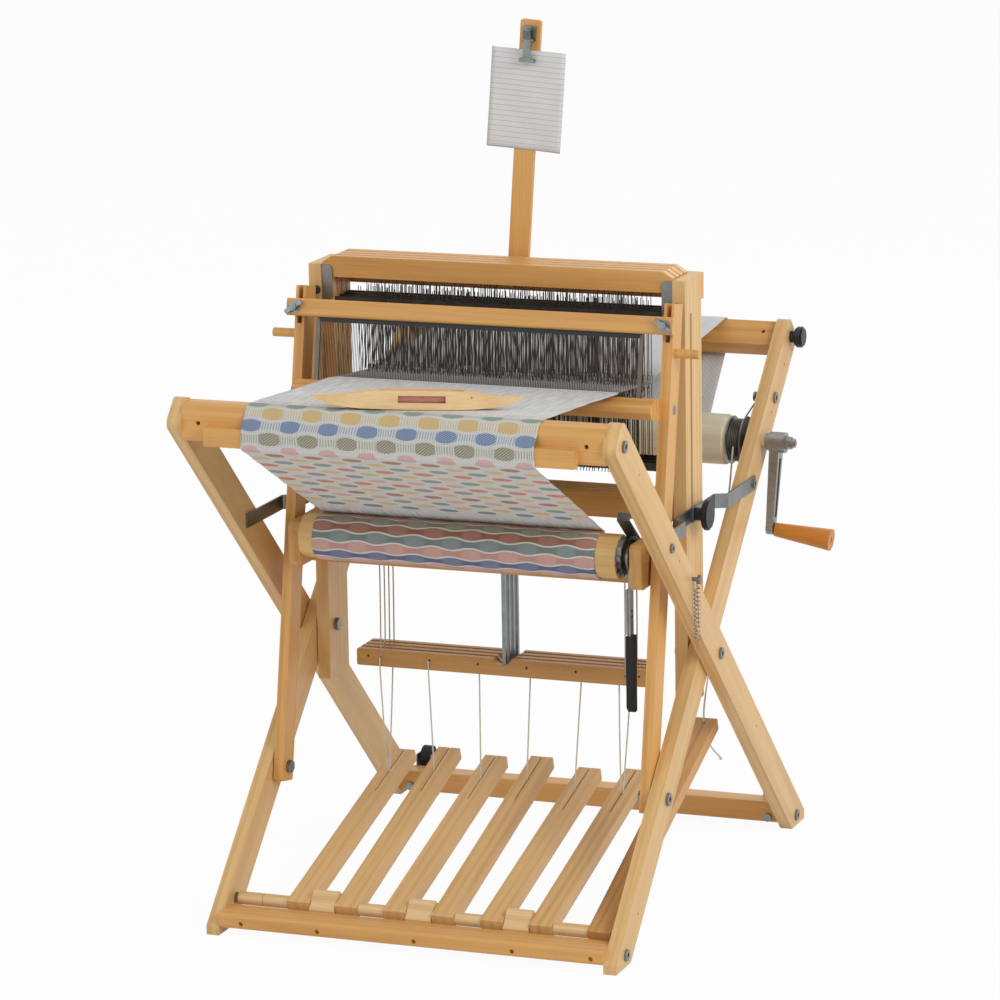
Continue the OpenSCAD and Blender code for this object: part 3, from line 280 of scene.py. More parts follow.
ZINC = metal("zinc", (146, 150, 150), 0.38, 0.2)
DARK_STEEL = metal("dark_steel", (92, 88, 82), 0.42, 0.2)
REED_STEEL = metal("reed_steel", (120, 116, 108), 0.45, 0.2)
ALLOY = metal("cast_alloy", (164, 162, 158), 0.42, 0.12, (160, 160, 160))
BLACK = plastic("black_plastic", (24, 24, 26), 0.45)
RUBBER = plastic("rubber", (22, 22, 22), 0.75, 900, 0.0001)


def paint(node, material):
    """Gives a CAD node one material all over."""
    slots = NODES[node].data.materials
    slots.clear()
    slots.append(material)


def soften(node, width=0.0012, segments=2):
    """Rounds a board's sharp edges a little, as sanding does."""
    m = NODES[node].modifiers.new("edge", "BEVEL")
    m.width = width
    m.segments = segments
    m.limit_method = "ANGLE"
    m.angle_limit = math.radians(50)
    m.use_clamp_overlap = True
    m.harden_normals = False


def board(node, turn, seed, light=MAPLE_LIGHT, dark=MAPLE_DARK, edge=0.0012):
    paint(node, wood("wood_" + node, light, dark, turn, seed))
    if edge:
        soften(node, edge)


def shaded(tint, share):
    return tuple(c * share for c in tint)


def dress_boards():
    leg_a = turned_to(-math.sin(LEG_LEAN), math.cos(LEG_LEAN))
    leg_b = turned_to(math.sin(LEG_LEAN), math.cos(LEG_LEAN))
    sword = turned_to(math.sin(BEATER_LEAN), math.cos(BEATER_LEAN))
    for i, (node, turn) in enumerate((
            ("leg_a_left", leg_a), ("leg_a_right", leg_a), ("leg_b_left", leg_b), ("leg_b_right", leg_b),
            ("castle_post_left", ALONG_Z), ("castle_post_right", ALONG_Z),
            ("sword_left", sword), ("sword_right", sword), ("mast", ALONG_Z))):
        warm = node in ("sword_left", "sword_right", "mast")
        tints = (WARM_LIGHT, WARM_DARK) if warm else (MAPLE_LIGHT, MAPLE_DARK)
        board(node, turn, 1.3 + i * 2.1, *tints)
    for i, node in enumerate(("castle_rails", "breast_beam", "rear_lower_beam", "back_beam",
                              "front_lower_beam", "handtree", "race_bar")):
        board(node, ALONG_X, 31.7 + i * 3.3, WARM_LIGHT, WARM_DARK)
    board("cloth_beam_blocks", ALONG_Y, 5.1, shaded(WARM_LIGHT, 0.97), shaded(WARM_DARK, 0.94))
    board("treadle_blocks", ALONG_X, 61.0, (232, 198, 146), (208, 166, 108), 0.0008)
    board("cloth_beam", ALONG_X, 77.0, (226, 186, 122), (206, 160, 92), 0)
    for k in range(1, 7):
        board(f"treadle_{k}", turned_to(1, TREADLE_RISE), 90 + 3.9 * k)
    board("brake_treadle", turned_to(1, BRAKE_RISE), 131.0, (206, 156, 96), (176, 122, 66))
    for k in range(1, 5):
        board(f"shaft_{k}", ALONG_X, 140 + 2.7 * k, WARM_LIGHT, WARM_DARK, 0.002)
        board(f"lamm_{k}", ALONG_X, 160 + 2.7 * k, shaded(WARM_LIGHT, 0.9), shaded(WARM_DARK, 0.88), 0.0008)
    paint("warp_beam", paper("warp_paper"))
    board("crank_grip", ALONG_X, 190.0, (206, 132, 48), (168, 96, 26), 0.0015)
    for node in ("castle_hardware", "front_frame_hardware", "rear_frame_hardware", "clip_jaw",
                 "fold_straps_front", "fold_straps_rear", "beater_pivots", "beater_hardware",
                 "ratchet_wheel", "ratchet_lever", "pawl", "brake_drum"):
        paint(node, ZINC)
    paint("reed", REED_STEEL)
    # The reed's upper edge is bound in black
    reed = NODES["reed"].data
    reed.materials.append(BLACK)
    for face in reed.polygons:
        y, z = face.center.y * 1000 - BEATER_PIVOT[0], face.center.z * 1000 - BEATER_PIVOT[1]
        if y * math.sin(BEATER_LEAN) + z * math.cos(BEATER_LEAN) > BINDING_FROM:
            face.material_index = 1
    paint("crank_arm", ALLOY)
    paint("back_beam_knobs", BLACK)
    paint("fold_knobs", BLACK)
    paint("lever_grip", RUBBER)
    paint("transport_wheels", RUBBER)
    for node in ("crank_arm", "fold_knobs", "back_beam_knobs", "lever_grip", "transport_wheels"):
        soften(node, 0.0012, 3)
    # A shaft's steel heddle bars are told from its wood by their place inside the frame
    bar_heights = ((60, 90), (260, 292))
    bar_half_depth = 0.0012
    for k in range(1, 5):
        mesh = NODES[f"shaft_{k}"].data
        mesh.materials.append(DARK_STEEL)
        low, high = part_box(f"shaft_{k}")
        for face in mesh.polygons:
            z = (face.center.z - low.z) * 1000
            thin = abs(face.center.y - (low.y + high.y) / 2) < bar_half_depth
            if thin and any(bottom < z < top for bottom, top in bar_heights):
                face.material_index = 1


dress_boards()


# Mesh helpers
class Shape:
    """Gathers vertices and faces, in the source's millimetres."""

    def __init__(self):
        self.points = []
        self.faces = []

    def grid(self, rows, closed=False, caps=False):
        """Joins rows of points, each row as long as the others."""
        base = len(self.points)
        n = len(rows[0])
        for row in rows:
            self.points.extend(row)
        for i in range(len(rows) - 1):
            for j in range(n if closed else n - 1):
                k = (j + 1) % n
                self.faces.append((base + i * n + j, base + i * n + k,
                                   base + (i + 1) * n + k, base + (i + 1) * n + j))
        if caps:
            self.faces.append(tuple(base + j for j in reversed(range(n))))
            last = base + (len(rows) - 1) * n
            self.faces.append(tuple(last + j for j in range(n)))

    def tube(self, path, radius, sides):
        path = [Vector(p) for p in path]
        rows = []
        side = None
        for i, p in enumerate(path):
            ahead = (path[min(i + 1, len(path) - 1)] - path[max(i - 1, 0)]).normalized()
            if side is None:
                side = ahead.orthogonal().normalized()
            side = (side - ahead * side.dot(ahead)).normalized()
            other = ahead.cross(side)
            rows.append([tuple(p + radius * (math.cos(a) * side + math.sin(a) * other))
                         for a in (2 * math.pi * j / sides for j in range(sides))])
        self.grid(rows, closed=True, caps=True)

    def box(self, x0, x1, y0, y1, z0, z1):
        base = len(self.points)
        self.points += [(x, y, z) for x in (x0, x1) for y in (y0, y1) for z in (z0, z1)]
        for f in ((0, 1, 3, 2), (4, 6, 7, 5), (0, 4, 5, 1), (2, 3, 7, 6), (0, 2, 6, 4), (1, 5, 7, 3)):
            self.faces.append(tuple(base + i for i in f))

    def lathe(self, centre, profile, sides, axis):
        """Turns (along, radius) pairs about an axis through centre."""
        rows = []
        for along, r in profile:
            row = []
            for j in range(sides):
                a = 2 * math.pi * j / sides
                c, s = r * math.cos(a), r * math.sin(a)
                x, y, z = centre
                row.append({"X": (x + along, y + c, z + s), "Y": (x + c, y + along, z - s),
                            "Z": (x + c, y + s, z + along)}[axis])
            rows.append(row)
        self.grid(rows, closed=True, caps=True)

    def build(self, name, body, material, smooth=True, blend=None):
        mesh = bpy.data.meshes.new(name)
        mesh.from_pydata([at(*p) for p in self.points], [], self.faces)
        mesh.materials.append(material)
        mesh.validate()
        if smooth:
            mesh.shade_smooth()
        piece = bpy.data.objects.new(name, mesh)
        bpy.context.scene.collection.objects.link(piece)
        if smooth:
            mesh.set_sharp_from_angle(angle=math.radians(38))
        fix_normals(mesh)
        if blend:
            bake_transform(piece)
        else:
            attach(piece, body)
        return piece


def fix_normals(mesh):
    work = bmesh.new()
    work.from_mesh(mesh)
    bmesh.ops.recalc_face_normals(work, faces=work.faces)
    work.to_mesh(mesh)
    work.free()


# Cords
def smooth_path(points, per=8):
    """A Catmull-Rom line through the points."""
    pts = [Vector(p) for p in points]
    pts = [pts[0] * 2 - pts[1]] + pts + [pts[-1] * 2 - pts[-2]]
    out = []
    for i in range(1, len(pts) - 2):
        a, b, c, d = pts[i - 1:i + 3]
        for j in range(per):
            t = j / per
            out.append(tuple(0.5 * (2 * b + (c - a) * t + (2 * a - 5 * b + 4 * c - d) * t * t
                                    + (3 * b - a - 3 * c + d) * t ** 3)))
    out.append(tuple(pts[-2]))
    return out


def cord_material(name, light, dark):
    t = Tree(name)
    place = t.place()
    twist = t.add("ShaderNodeTexWave", wave_type="BANDS", bands_direction="DIAGONAL")
    t.feed(twist.inputs["Vector"], place)
    twist.inputs["Scale"].default_value = 260
    soft = t.noise(place, 160, 3)
    share = t.math("ADD", t.math("MULTIPLY", twist.outputs["Fac"], 0.6), t.math("MULTIPLY", soft, 0.5))
    t.colour(t.ramp(share, [(0.2, linear(dark)), (0.8, linear(light))]))
    t.rough(0.85)
    t.bump(twist.outputs["Fac"], 0.0003, 0.6)
    return t.mat


CORD = cord_material("white_cord", (238, 236, 228), (196, 192, 182))
LAMM_CORD = cord_material("lamm_cord", (206, 196, 178), (150, 138, 120))


def add_cord(name, points, diameter, body, material=CORD, replaces=()):
    """A taut cord between two pieces that hold its ends."""
    path = smooth_path(points)
    shape = Shape()
    shape.tube(path, diameter / 2, 8)
    piece = shape.build(name, body, material)
    if replaces:
        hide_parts(*replaces)


# The brake cord's route repeats the points in the source
BRAKE_ROUTE = [(251, 110.5, 210.8), (251, 113.5, 236.5), (252, 141, 300), (254, 173, 400),
               (256, 197, 470), (258, 213, 530), (258, 227.6, 580)]
add_cord("brake_line", BRAKE_ROUTE, 2.6, "rear_frame", replaces=("brake_cord",))

# The four shafts' places from front to back, and the six treadles' places from left to right
SHAFTS_MIDDLE, SHAFT_PITCH = 12, 16.5
SHAFT_Y = [SHAFTS_MIDDLE + (k - 2.5) * SHAFT_PITCH for k in range(1, 5)]
TREADLES_MIDDLE, TREADLE_PITCH = -5, 69.6
TREADLE_X = [TREADLES_MIDDLE + (k - 3.5) * TREADLE_PITCH for k in range(1, 7)]
# The treadles' axle as (y, z), and each treadle's slope at rest in degrees
AXLE = (-326.0, 36.0)
SLOPES = [15.2 + more for more in (0.1, 1.4, 0.4, 1.1, -0.6, 0.0)]


def treadle_top(distance, slope):
    """A point on a treadle's upper face, so far behind its axle, as (y, z)."""
    a = math.radians(slope)
    face = 9
    return (AXLE[0] + distance * math.cos(a) - face * math.sin(a),
            AXLE[1] + distance * math.sin(a) + face * math.cos(a))


# Which lamms each treadle is tied to
TIES = {1: (1, 3), 2: (1,), 3: (2,), 4: (3,), 5: (4,), 6: (2, 4)}
# A tie-up cord's distance behind the axle, its place before the lamm's middle, and the height it reaches
TIE_ALONG, TIE_BEFORE, TIE_TOP = 338, 5.6, 303
# How far a tie-up's knot lies under the treadle's upper face
KNOT_DROP = 18


def tie_ups():
    for treadle, lamms in TIES.items():
        slope = SLOPES[treadle - 1]
        y, z = treadle_top(TIE_ALONG, slope)
        x = TREADLE_X[treadle - 1]
        # Two cords on one treadle part to its sides
        side_step = 3 if len(lamms) > 1 else 0
        for n, lamm in enumerate(lamms):
            side = side_step if n else -side_step
            ly = SHAFT_Y[lamm - 1] - TIE_BEFORE
            points = [(x + side * 0.5, y, z - 1), (x + side * 0.7, y * 0.97 + ly * 0.03, z + 14),
                      (x + side, (y + ly) / 2, (z + TIE_TOP - 3) / 2), (x + side, ly, TIE_TOP - 17),
                      (x + side, ly, TIE_TOP)]
            add_cord(f"tie_{treadle}_{lamm}", points, 2.2, f"pedal_{treadle}")
        # The knot under the treadle and its two tails
        a = math.radians(slope)
        ky, kz = y + KNOT_DROP * math.sin(a) + 1, z - KNOT_DROP * math.cos(a)
        lean = 1 if treadle % 2 else -1
        knot = Shape()
        knot.lathe((x, ky, kz - 4), [(-4, 1.2), (-2.6, 2.8), (0, 3.6), (2.6, 3.2), (4.0, 1.4)], 12, "Z")
        for tail in ([(-1, 0, -7), (-3 * lean, -1, -12), (-4 * lean, 0, -19)],
                     [(1, 0, -7), (2 * lean, 2, -11), (2 * lean, 3, -15)]):
            knot.tube([(x + dx, ky + dy, kz + dz) for dx, dy, dz in tail], 1.0, 6)
        knot.build(f"tie_knot_{treadle}", f"pedal_{treadle}", CORD)


tie_ups()


def brake_tail():
    """The knot under the brake treadle and the cord's loose end."""
    tail = Shape()
    tail.lathe((251, 117.5, 189.5), [(-4, 1.2), (-2.6, 3.0), (0, 3.8), (2.6, 3.4), (4.2, 1.4)], 12, "Z")
    tail.tube(smooth_path([(251.5, 118, 187), (253, 122, 180), (258, 131, 166), (265, 141, 153)], 5), 1.3, 8)
    tail.lathe((265.3, 141.5, 151.5), [(-2.2, 0.8), (-1.2, 2.0), (0.6, 2.3), (2.2, 1.0)], 10, "Z")
    tail.build("brake_tail", "brake_pedal", CORD)


brake_tail()

# The levers' pins, and the distances from the middle of their inner ends, the pushers and the lamm cords
PIN_X, PIN_Z = 110, 456
LEVER_END_X, PUSHER_X, LAMM_END_X = 18, 24, 180.5
PUSHER_TOP = 526
LEVER_SECTION = ((-2.5, -8), (2.5, -8), (2.5, 8), (-2.5, 8))


def lifting_gear():
    """Levers on the low rails: a lamm pulls their outer ends down, and they push a shaft up."""
    lever_wood = wood("lever_wood", shaded(MAPLE_LIGHT, 0.95), shaded(MAPLE_DARK, 0.9), ALONG_X, 7.7)
    for k, y in enumerate(SHAFT_Y, 1):
        for side in (-1, 1):
            label = f"{k}_{'left' if side < 0 else 'right'}"
            for part, xs, body, end in (
                    ("in", (PIN_X, 90, 70, 50, 30, LEVER_END_X), f"harness_{k}", LEVER_END_X),
                    ("out", (PIN_X, 125, 140, 155, 170, 190), f"lamm_body_{k}", LAMM_END_X)):
                arm = Shape()
                arm.grid([[(side * x, y + dy, PIN_Z + dz) for dy, dz in LEVER_SECTION] for x in xs],
                         closed=True, caps=True)
                arm.build(f"lever_{part}_{label}", "castle", lever_wood, False,
                          (body, (side * PIN_X, y, PIN_Z), (side * end, y, PIN_Z)))
            push = Shape()
            push.box(side * PUSHER_X - 5, side * PUSHER_X + 5, y - 2.5, y + 2.5, PIN_Z + 6, PUSHER_TOP)
            push.build(f"pusher_{label}", f"harness_{k}", lever_wood, False)
            x = side * LAMM_END_X
            points = [(x, y - 4.9, 304), (x, y - 4.6, 312), (x, y - 3.4, 360), (x, y - 2.8, 410),
                      (x, y - 2.7, 450)]
            add_cord(f"lamm_cord_{label}", points, 2.0, f"lamm_body_{k}", material=LAMM_CORD)


lifting_gear()


# Heddles and reed

# Half the warp's width in the heddles, and half the width that the dents fill
WARP_HALF, DENTS_HALF = 205, 229


def heddles():
    """Flat steel heddles, each with a loop over both bars and an eye in the middle."""
    rng = np.random.default_rng(7)
    count = 92
    half_width, half_wire = 0.55, 0.25
    for k, y in enumerate(SHAFT_Y, 1):
        shape = Shape()
        low, mid, high = 588.0, 706.0 + 2 * (k - 2.5), 817.0
        for i in range(count):
            x = -WARP_HALF + 2 * WARP_HALF * (i + 0.5) / count + rng.uniform(-1.2, 1.2) + (k - 2.5) * 0.9
            dy = rng.uniform(-0.5, 0.5)
            front, back = y + dy - 1.5, y + dy - 1.2
            up = rng.uniform(-9.0, 3.0) if rng.random() < 0.72 else rng.uniform(0.0, 9.0)
            shape.box(x - half_width, x + half_width, front, back, low, mid - 5)
            shape.box(x - half_width, x + half_width, front, back, mid + 5, high + 10 + up)
            for wire in (x - 1.1, x + 1.1):
                shape.box(wire - half_wire, wire + half_wire, front, back, mid - 6, mid + 6)
        shape.build(f"heddles_{k}", f"harness_{k}", DARK_STEEL, False)


def dents():
    """The reed's dents, in the beater's lean."""
    shape = Shape()
    s, c = math.sin(BEATER_LEAN), math.cos(BEATER_LEAN)
    by, bz = BEATER_PIVOT

    def spot(x, t, up):
        return (x, by + up * s + t * c, bz + up * c - t * s)

    count, half_thick = 190, 0.16
    front, back = -28.8, -27.2
    bottom, top = 532.0, 615.0
    for i in range(count):
        x = -DENTS_HALF + 2 * DENTS_HALF * (i + 0.5) / count
        x0, x1 = x - half_thick, x + half_thick
        corners = ((x0, front), (x1, front), (x1, back), (x0, back))
        rows = [[spot(*corner, up) for corner in corners] for up in (bottom, top)]
        shape.grid(rows, closed=True, caps=True)
    shape.build("reed_dents", "beater", DARK_STEEL, False)


heddles()
dents()


# Cloth

# The roll's axis and radius, and how far it sits to the left of the middle
ROLL_Y, ROLL_Z, ROLL_R = -138.0, 502.0, 32.5
ROLL_SHIFT = -13.0
# The breast beam's top, and the axis and radius of the edge that the cloth bends over
BEAM_TOP = 736.3
EDGE_Y, EDGE_Z, EDGE_R = -398.7, 719.9, 16.6
# Half the cloth's width at the fell and after it has drawn in, and the run that this takes
FELL_HALF, CLOTH_HALF, DRAW_IN = 208, 204.0, 120.0
# A row's height, and the blocks' spacing along it
ROW, PITCH = 18.0, 54.5
# Distances from the fell to the first row, to where the cloth's underside shows, and to the last row's end
ROWS_START, UNDERSIDE_FROM, ROWS_END = 277.0, 352.0, 637.0
# How far the rows swing up and down
WAVE = 2.4
SAGE, GOLD, BLUE, OLIVE = (108, 138, 118), (214, 178, 92), (78, 116, 164), (140, 134, 104)
RUST, YELLOW, TEAL, CORAL = (176, 96, 62), (230, 196, 128), (120, 148, 148), (222, 112, 76)
PINK, PALE_PINK, LAST_BLUE = (222, 172, 168), (226, 182, 176), (84, 118, 160)
# Rows of the flat cloth from the breast beam's top edge down to the roll
ROW_COLOURS = [SAGE, GOLD, BLUE, OLIVE, PINK, RUST, YELLOW, TEAL, CORAL, YELLOW, TEAL, PALE_PINK, CORAL, TEAL,
               YELLOW, RUST, PALE_PINK, TEAL, YELLOW, LAST_BLUE]
ORANGE, DRAB, BROWN, SLATE = (222, 132, 74), (150, 140, 110), (170, 90, 45), (120, 140, 140)
ROSE, DEEP_BLUE, PALE_ROSE = (222, 160, 150), (80, 95, 150), (226, 176, 170)
# Rows of the roll from its top towards the weaver and round
ROLL_COLOURS = [ORANGE, *[DRAB, BROWN, SLATE, ROSE, DEEP_BLUE, PALE_ROSE] * 2, DRAB, ORANGE, ORANGE]
ROLL_ROW = 14.0


def cloth_material(name, colours, start, end, row_height, ribbed):
    """Honeycomb weave: rounded blocks of colour between wavy double lines of white."""
    t = Tree(name)
    uv = t.add("ShaderNodeSeparateXYZ")
    t.feed(uv.inputs[0], t.uv())
    u, v = uv.outputs[0], uv.outputs[1]
    # Each row is a wavy line of blocks, set off by half the spacing from the row before
    wobble = t.noise(t.mapped(t.uv(), scale=(0.03, 0.03, 0.03)), 1.0, 2)
    u = t.math("ADD", u, t.math("MULTIPLY", t.math("SUBTRACT", wobble, 0.5), 7.0))
    phase = t.math("MULTIPLY", u, 2 * math.pi / PITCH)
    beat = t.math("COSINE", t.math("MULTIPLY", t.math("SUBTRACT", v, start), math.pi / row_height))
    swing = t.math("MULTIPLY", t.math("COSINE", phase), beat)
    vw = t.math("SUBTRACT", t.math("SUBTRACT", v, start), t.math("MULTIPLY", swing, WAVE))
    rows = t.math("DIVIDE", vw, row_height)
    row = t.math("FLOOR", rows)
    inside = t.math("SUBTRACT", t.math("FRACT", rows), 0.5)
    odd = t.math("MULTIPLY", t.math("MODULO", row, 2.0), 0.5)
    cell = t.math("SUBTRACT", t.math("FRACT", t.math("ADD", t.math("DIVIDE", u, PITCH), odd)), 0.5)
    across = t.math("DIVIDE", t.math("ABSOLUTE", cell), 0.25)
    along = t.math("DIVIDE", t.math("ABSOLUTE", inside), 0.35)
    power = t.math("ADD", t.math("POWER", across, 5.0), t.math("POWER", along, 5.0))
    block = t.math("LESS_THAN", power, 1.0)
    # The underside shows slim lenses of colour on white
    lens = t.math("ADD", t.math("POWER", across, 4.0), t.math("POWER", t.math("MULTIPLY", along, 1.15), 2.0))
    under = 0.0 if ribbed else t.math("GREATER_THAN", v, UNDERSIDE_FROM)
    lens_on = t.math("MULTIPLY", t.math("LESS_THAN", lens, 1.0), under)
    top_on = t.math("MULTIPLY", block, t.math("SUBTRACT", 1.0, under))
    block = t.math("MAXIMUM", lens_on, top_on)
    edge = t.math("ABSOLUTE", inside)
    pair = t.math("MULTIPLY", t.math("GREATER_THAN", edge, 0.36), t.math("LESS_THAN", edge, 0.41))
    line = t.math("MAXIMUM", t.math("GREATER_THAN", edge, 0.455), pair)
    if ribbed:
        line = t.math("GREATER_THAN", edge, 0.40)
    in_rows = t.math("MULTIPLY", t.math("GREATER_THAN", v, start), t.math("LESS_THAN", v, end))
    n = len(colours)
    place = t.math("DIVIDE", t.math("ADD", row, 0.5), float(n))
    tone = t.ramp(place, [(i / n, linear(c)) for i, c in enumerate(colours)], "CONSTANT")
    # Twill inside the blocks, ribs in the gaps between them
    slant = t.math("ADD", t.math("MULTIPLY", u, 0.8), v)
    twill = t.math("SINE", t.math("MULTIPLY", slant, 2 * math.pi / 3.7))
    twill_on = t.math("MULTIPLY", t.math("GREATER_THAN", twill, 0.35), 0.5)
    white = linear((232, 232, 228))
    pale = linear((208, 208, 202))
    block_tone = t.mix(twill_on, tone, white)
    rib_run, rib_pitch = (v, 2.6) if ribbed else (u, 3.6)
    rib = t.math("SINE", t.math("MULTIPLY", rib_run, 2 * math.pi / rib_pitch))
    rib_on = t.math("GREATER_THAN", rib, 0.1)
    gap_dark = t.mix(0.1 if ribbed else 0.55, tone, pale)
    rib_share, rib_tone = (0.25, linear((90, 80, 70))) if ribbed else (0.8, white)
    gap_tone = t.mix(t.math("MULTIPLY", rib_on, rib_share), gap_dark, rib_tone)
    gap_tone = t.mix(t.math("MULTIPLY", under, 0.92), gap_tone, white)
    body = t.mix(block, gap_tone, block_tone)
    body = t.mix(line, body, white)
    thread = t.math("MULTIPLY", t.math("SINE", t.math("MULTIPLY", u, 2 * math.pi / 1.3)),
                    t.math("SINE", t.math("MULTIPLY", v, 2 * math.pi / 1.3)))
    slub = t.noise(t.mapped(t.uv(), scale=(0.45, 0.02, 1)), 1.0, 3)
    bright = t.ramp(slub, [(0.42, (0, 0, 0, 1)), (0.62, (1, 1, 1, 1))])
    plain = t.mix(bright, linear((214, 216, 215)), linear((248, 248, 246)))
    if not ribbed:
        # A few picks of coloured weft lie just before the first row
        for middle, tint in ((262.5, (226, 120, 90)), (266.5, (224, 182, 100)), (271.0, (226, 140, 116))):
            pick = t.math("LESS_THAN", t.math("ABSOLUTE", t.math("SUBTRACT", v, middle)), 0.7)
            plain = t.mix(t.math("MULTIPLY", pick, 0.75), plain, linear(tint))
    colour = t.mix(in_rows, plain, body)
    fuzz = t.noise(t.uv(), 0.9, 4, 0.7)
    colour = t.mix(t.math("MULTIPLY", fuzz, 0.14), colour, linear((160, 154, 144)))
    t.colour(colour)
    t.rough(0.9)
    height = t.math("ADD", t.math("MULTIPLY", thread, 0.25), t.math("MULTIPLY", fuzz, 0.4))
    height = t.math("ADD", height, t.math("MULTIPLY", t.math("MULTIPLY", in_rows, line), 1.0))
    height = t.math("ADD", height, t.math("MULTIPLY", t.math("MULTIPLY", in_rows, rib), 0.25))
    t.bump(height, 0.0007, 0.8)
    t.set(Sheen_Weight=0.12, Specular_IOR_Level=0.25)
    return t.mat


def resample(points, step):
    """Points of a (y, z) line at even steps, with the distance of each."""
    pts = [Vector(p) for p in points]
    out, total = [(0.0, tuple(pts[0]))], 0.0
    for a, b in zip(pts, pts[1:]):
        run = (b - a).length
        n = max(1, round(run / step))
        for i in range(1, n + 1):
            out.append((total + run * i / n, tuple(a.lerp(b, i / n))))
        total += run
    return out


def two_sided(rows, columns):
    """Faces of a closed sheet: two layers of rows of points, joined round their edge."""
    m = columns + 1
    second = rows * m
    faces = []
    for base in (0, second):
        for i in range(rows - 1):
            for j in range(columns):
                k = base + i * m + j
                f = (k, k + 1, k + m + 1, k + m)
                faces.append(f if base else f[::-1])
    edge = [i * m for i in range(rows)]
    edge += [(rows - 1) * m + j for j in range(1, m)]
    edge += [i * m + columns for i in range(rows - 2, -1, -1)]
    edge += range(columns - 1, 0, -1)
    for a, b in zip(edge, edge[1:] + edge[:1]):
        faces.append((a, b, second + b, second + a))
    return faces


def sheet_piece(name, points, faces, uvs, material):
    """A smooth mesh piece with one UV for each point."""
    mesh = bpy.data.meshes.new(name)
    mesh.from_pydata([at(*p) for p in points], [], faces)
    layer = mesh.uv_layers.new(name="UVMap")
    for loop in mesh.loops:
        layer.data[loop.index].uv = uvs[loop.vertex_index]
    mesh.materials.append(material)
    fix_normals(mesh)
    mesh.shade_smooth()
    piece = bpy.data.objects.new(name, mesh)
    bpy.context.scene.collection.objects.link(piece)
    return piece


def sheet_mesh(name, line, half_at, material, thick, columns, relief=None, skew=None):
    """A closed sheet along a (y, z) line, with its UVs in millimetres."""
    pts = [Vector(p) for _, p in line]
    normals = []
    for i in range(len(pts)):
        d = (pts[min(i + 1, len(pts) - 1)] - pts[max(i - 1, 0)]).normalized()
        normals.append(Vector((-d.y, d.x)))
    points, uvs = [], []
    for layer in (1, 0):
        for (v, _), p, n in zip(line, pts, normals):
            for j in range(columns + 1):
                u = (2 * j / columns - 1) * half_at(v)
                lift = thick * layer + (relief(u, v) if relief and layer else 0)
                q = p - n * lift
                points.append((u + (skew(v) if skew else 0), q.x, q.y))
                uvs.append((u, v))
    return sheet_piece(name, points, two_sided(len(line), columns), uvs, material)


def honey_relief(u, v):
    """How far the weave stands up at a place on the cloth."""
    if not ROWS_START < v < ROWS_END:
        return 0.0
    w = v - ROWS_START
    swing = math.cos(2 * math.pi * u / PITCH) * math.cos(math.pi * w / ROW)
    inside = ((w - WAVE * swing) / ROW) % 1.0
    return 0.2 + 0.25 * math.cos(2 * math.pi * inside)


def make_cloth():
    curve = [(-112, 718), (-374.7, BEAM_TOP + 0.1), (-400, BEAM_TOP + 0.2)]
    # Over the breast beam's rounded edge
    for a in range(100, 171, 10):
        r = math.radians(a)
        curve.append((EDGE_Y + EDGE_R * math.cos(r), EDGE_Z + EDGE_R * math.sin(r)))
    # Down the strip in front of the beam
    curve += [(-427.2, 709.0), (-427.3, 684.0), (-425.6, 681.9)]
    # The last point is where the cloth meets the roll
    meet, r = math.radians(26.3), ROLL_R + 0.4
    curve.append((ROLL_Y + r * math.sin(meet), ROLL_Z + r * math.cos(meet)))
    line = resample(curve, 3.0)

    def half(v):
        share = min(1.0, v / DRAW_IN)
        drawn = (FELL_HALF - CLOTH_HALF) * share * share * (3 - 2 * share)
        return FELL_HALF - drawn + 0.6 * math.sin(v / 9.0)

    material = cloth_material("honeycomb_cloth", ROW_COLOURS, ROWS_START, ROWS_END, ROW, False)
    whole = line[-1][0]
    hang = whole - 335.0

    # The hanging part runs aside to the roll's place
    def skew(v):
        return ROLL_SHIFT * max(0.0, (v - hang) / (whole - hang))

    piece = sheet_mesh("cloth", line, half, material, 0.7, 150, honey_relief, skew)
    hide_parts("cloth_web")
    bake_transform(piece)


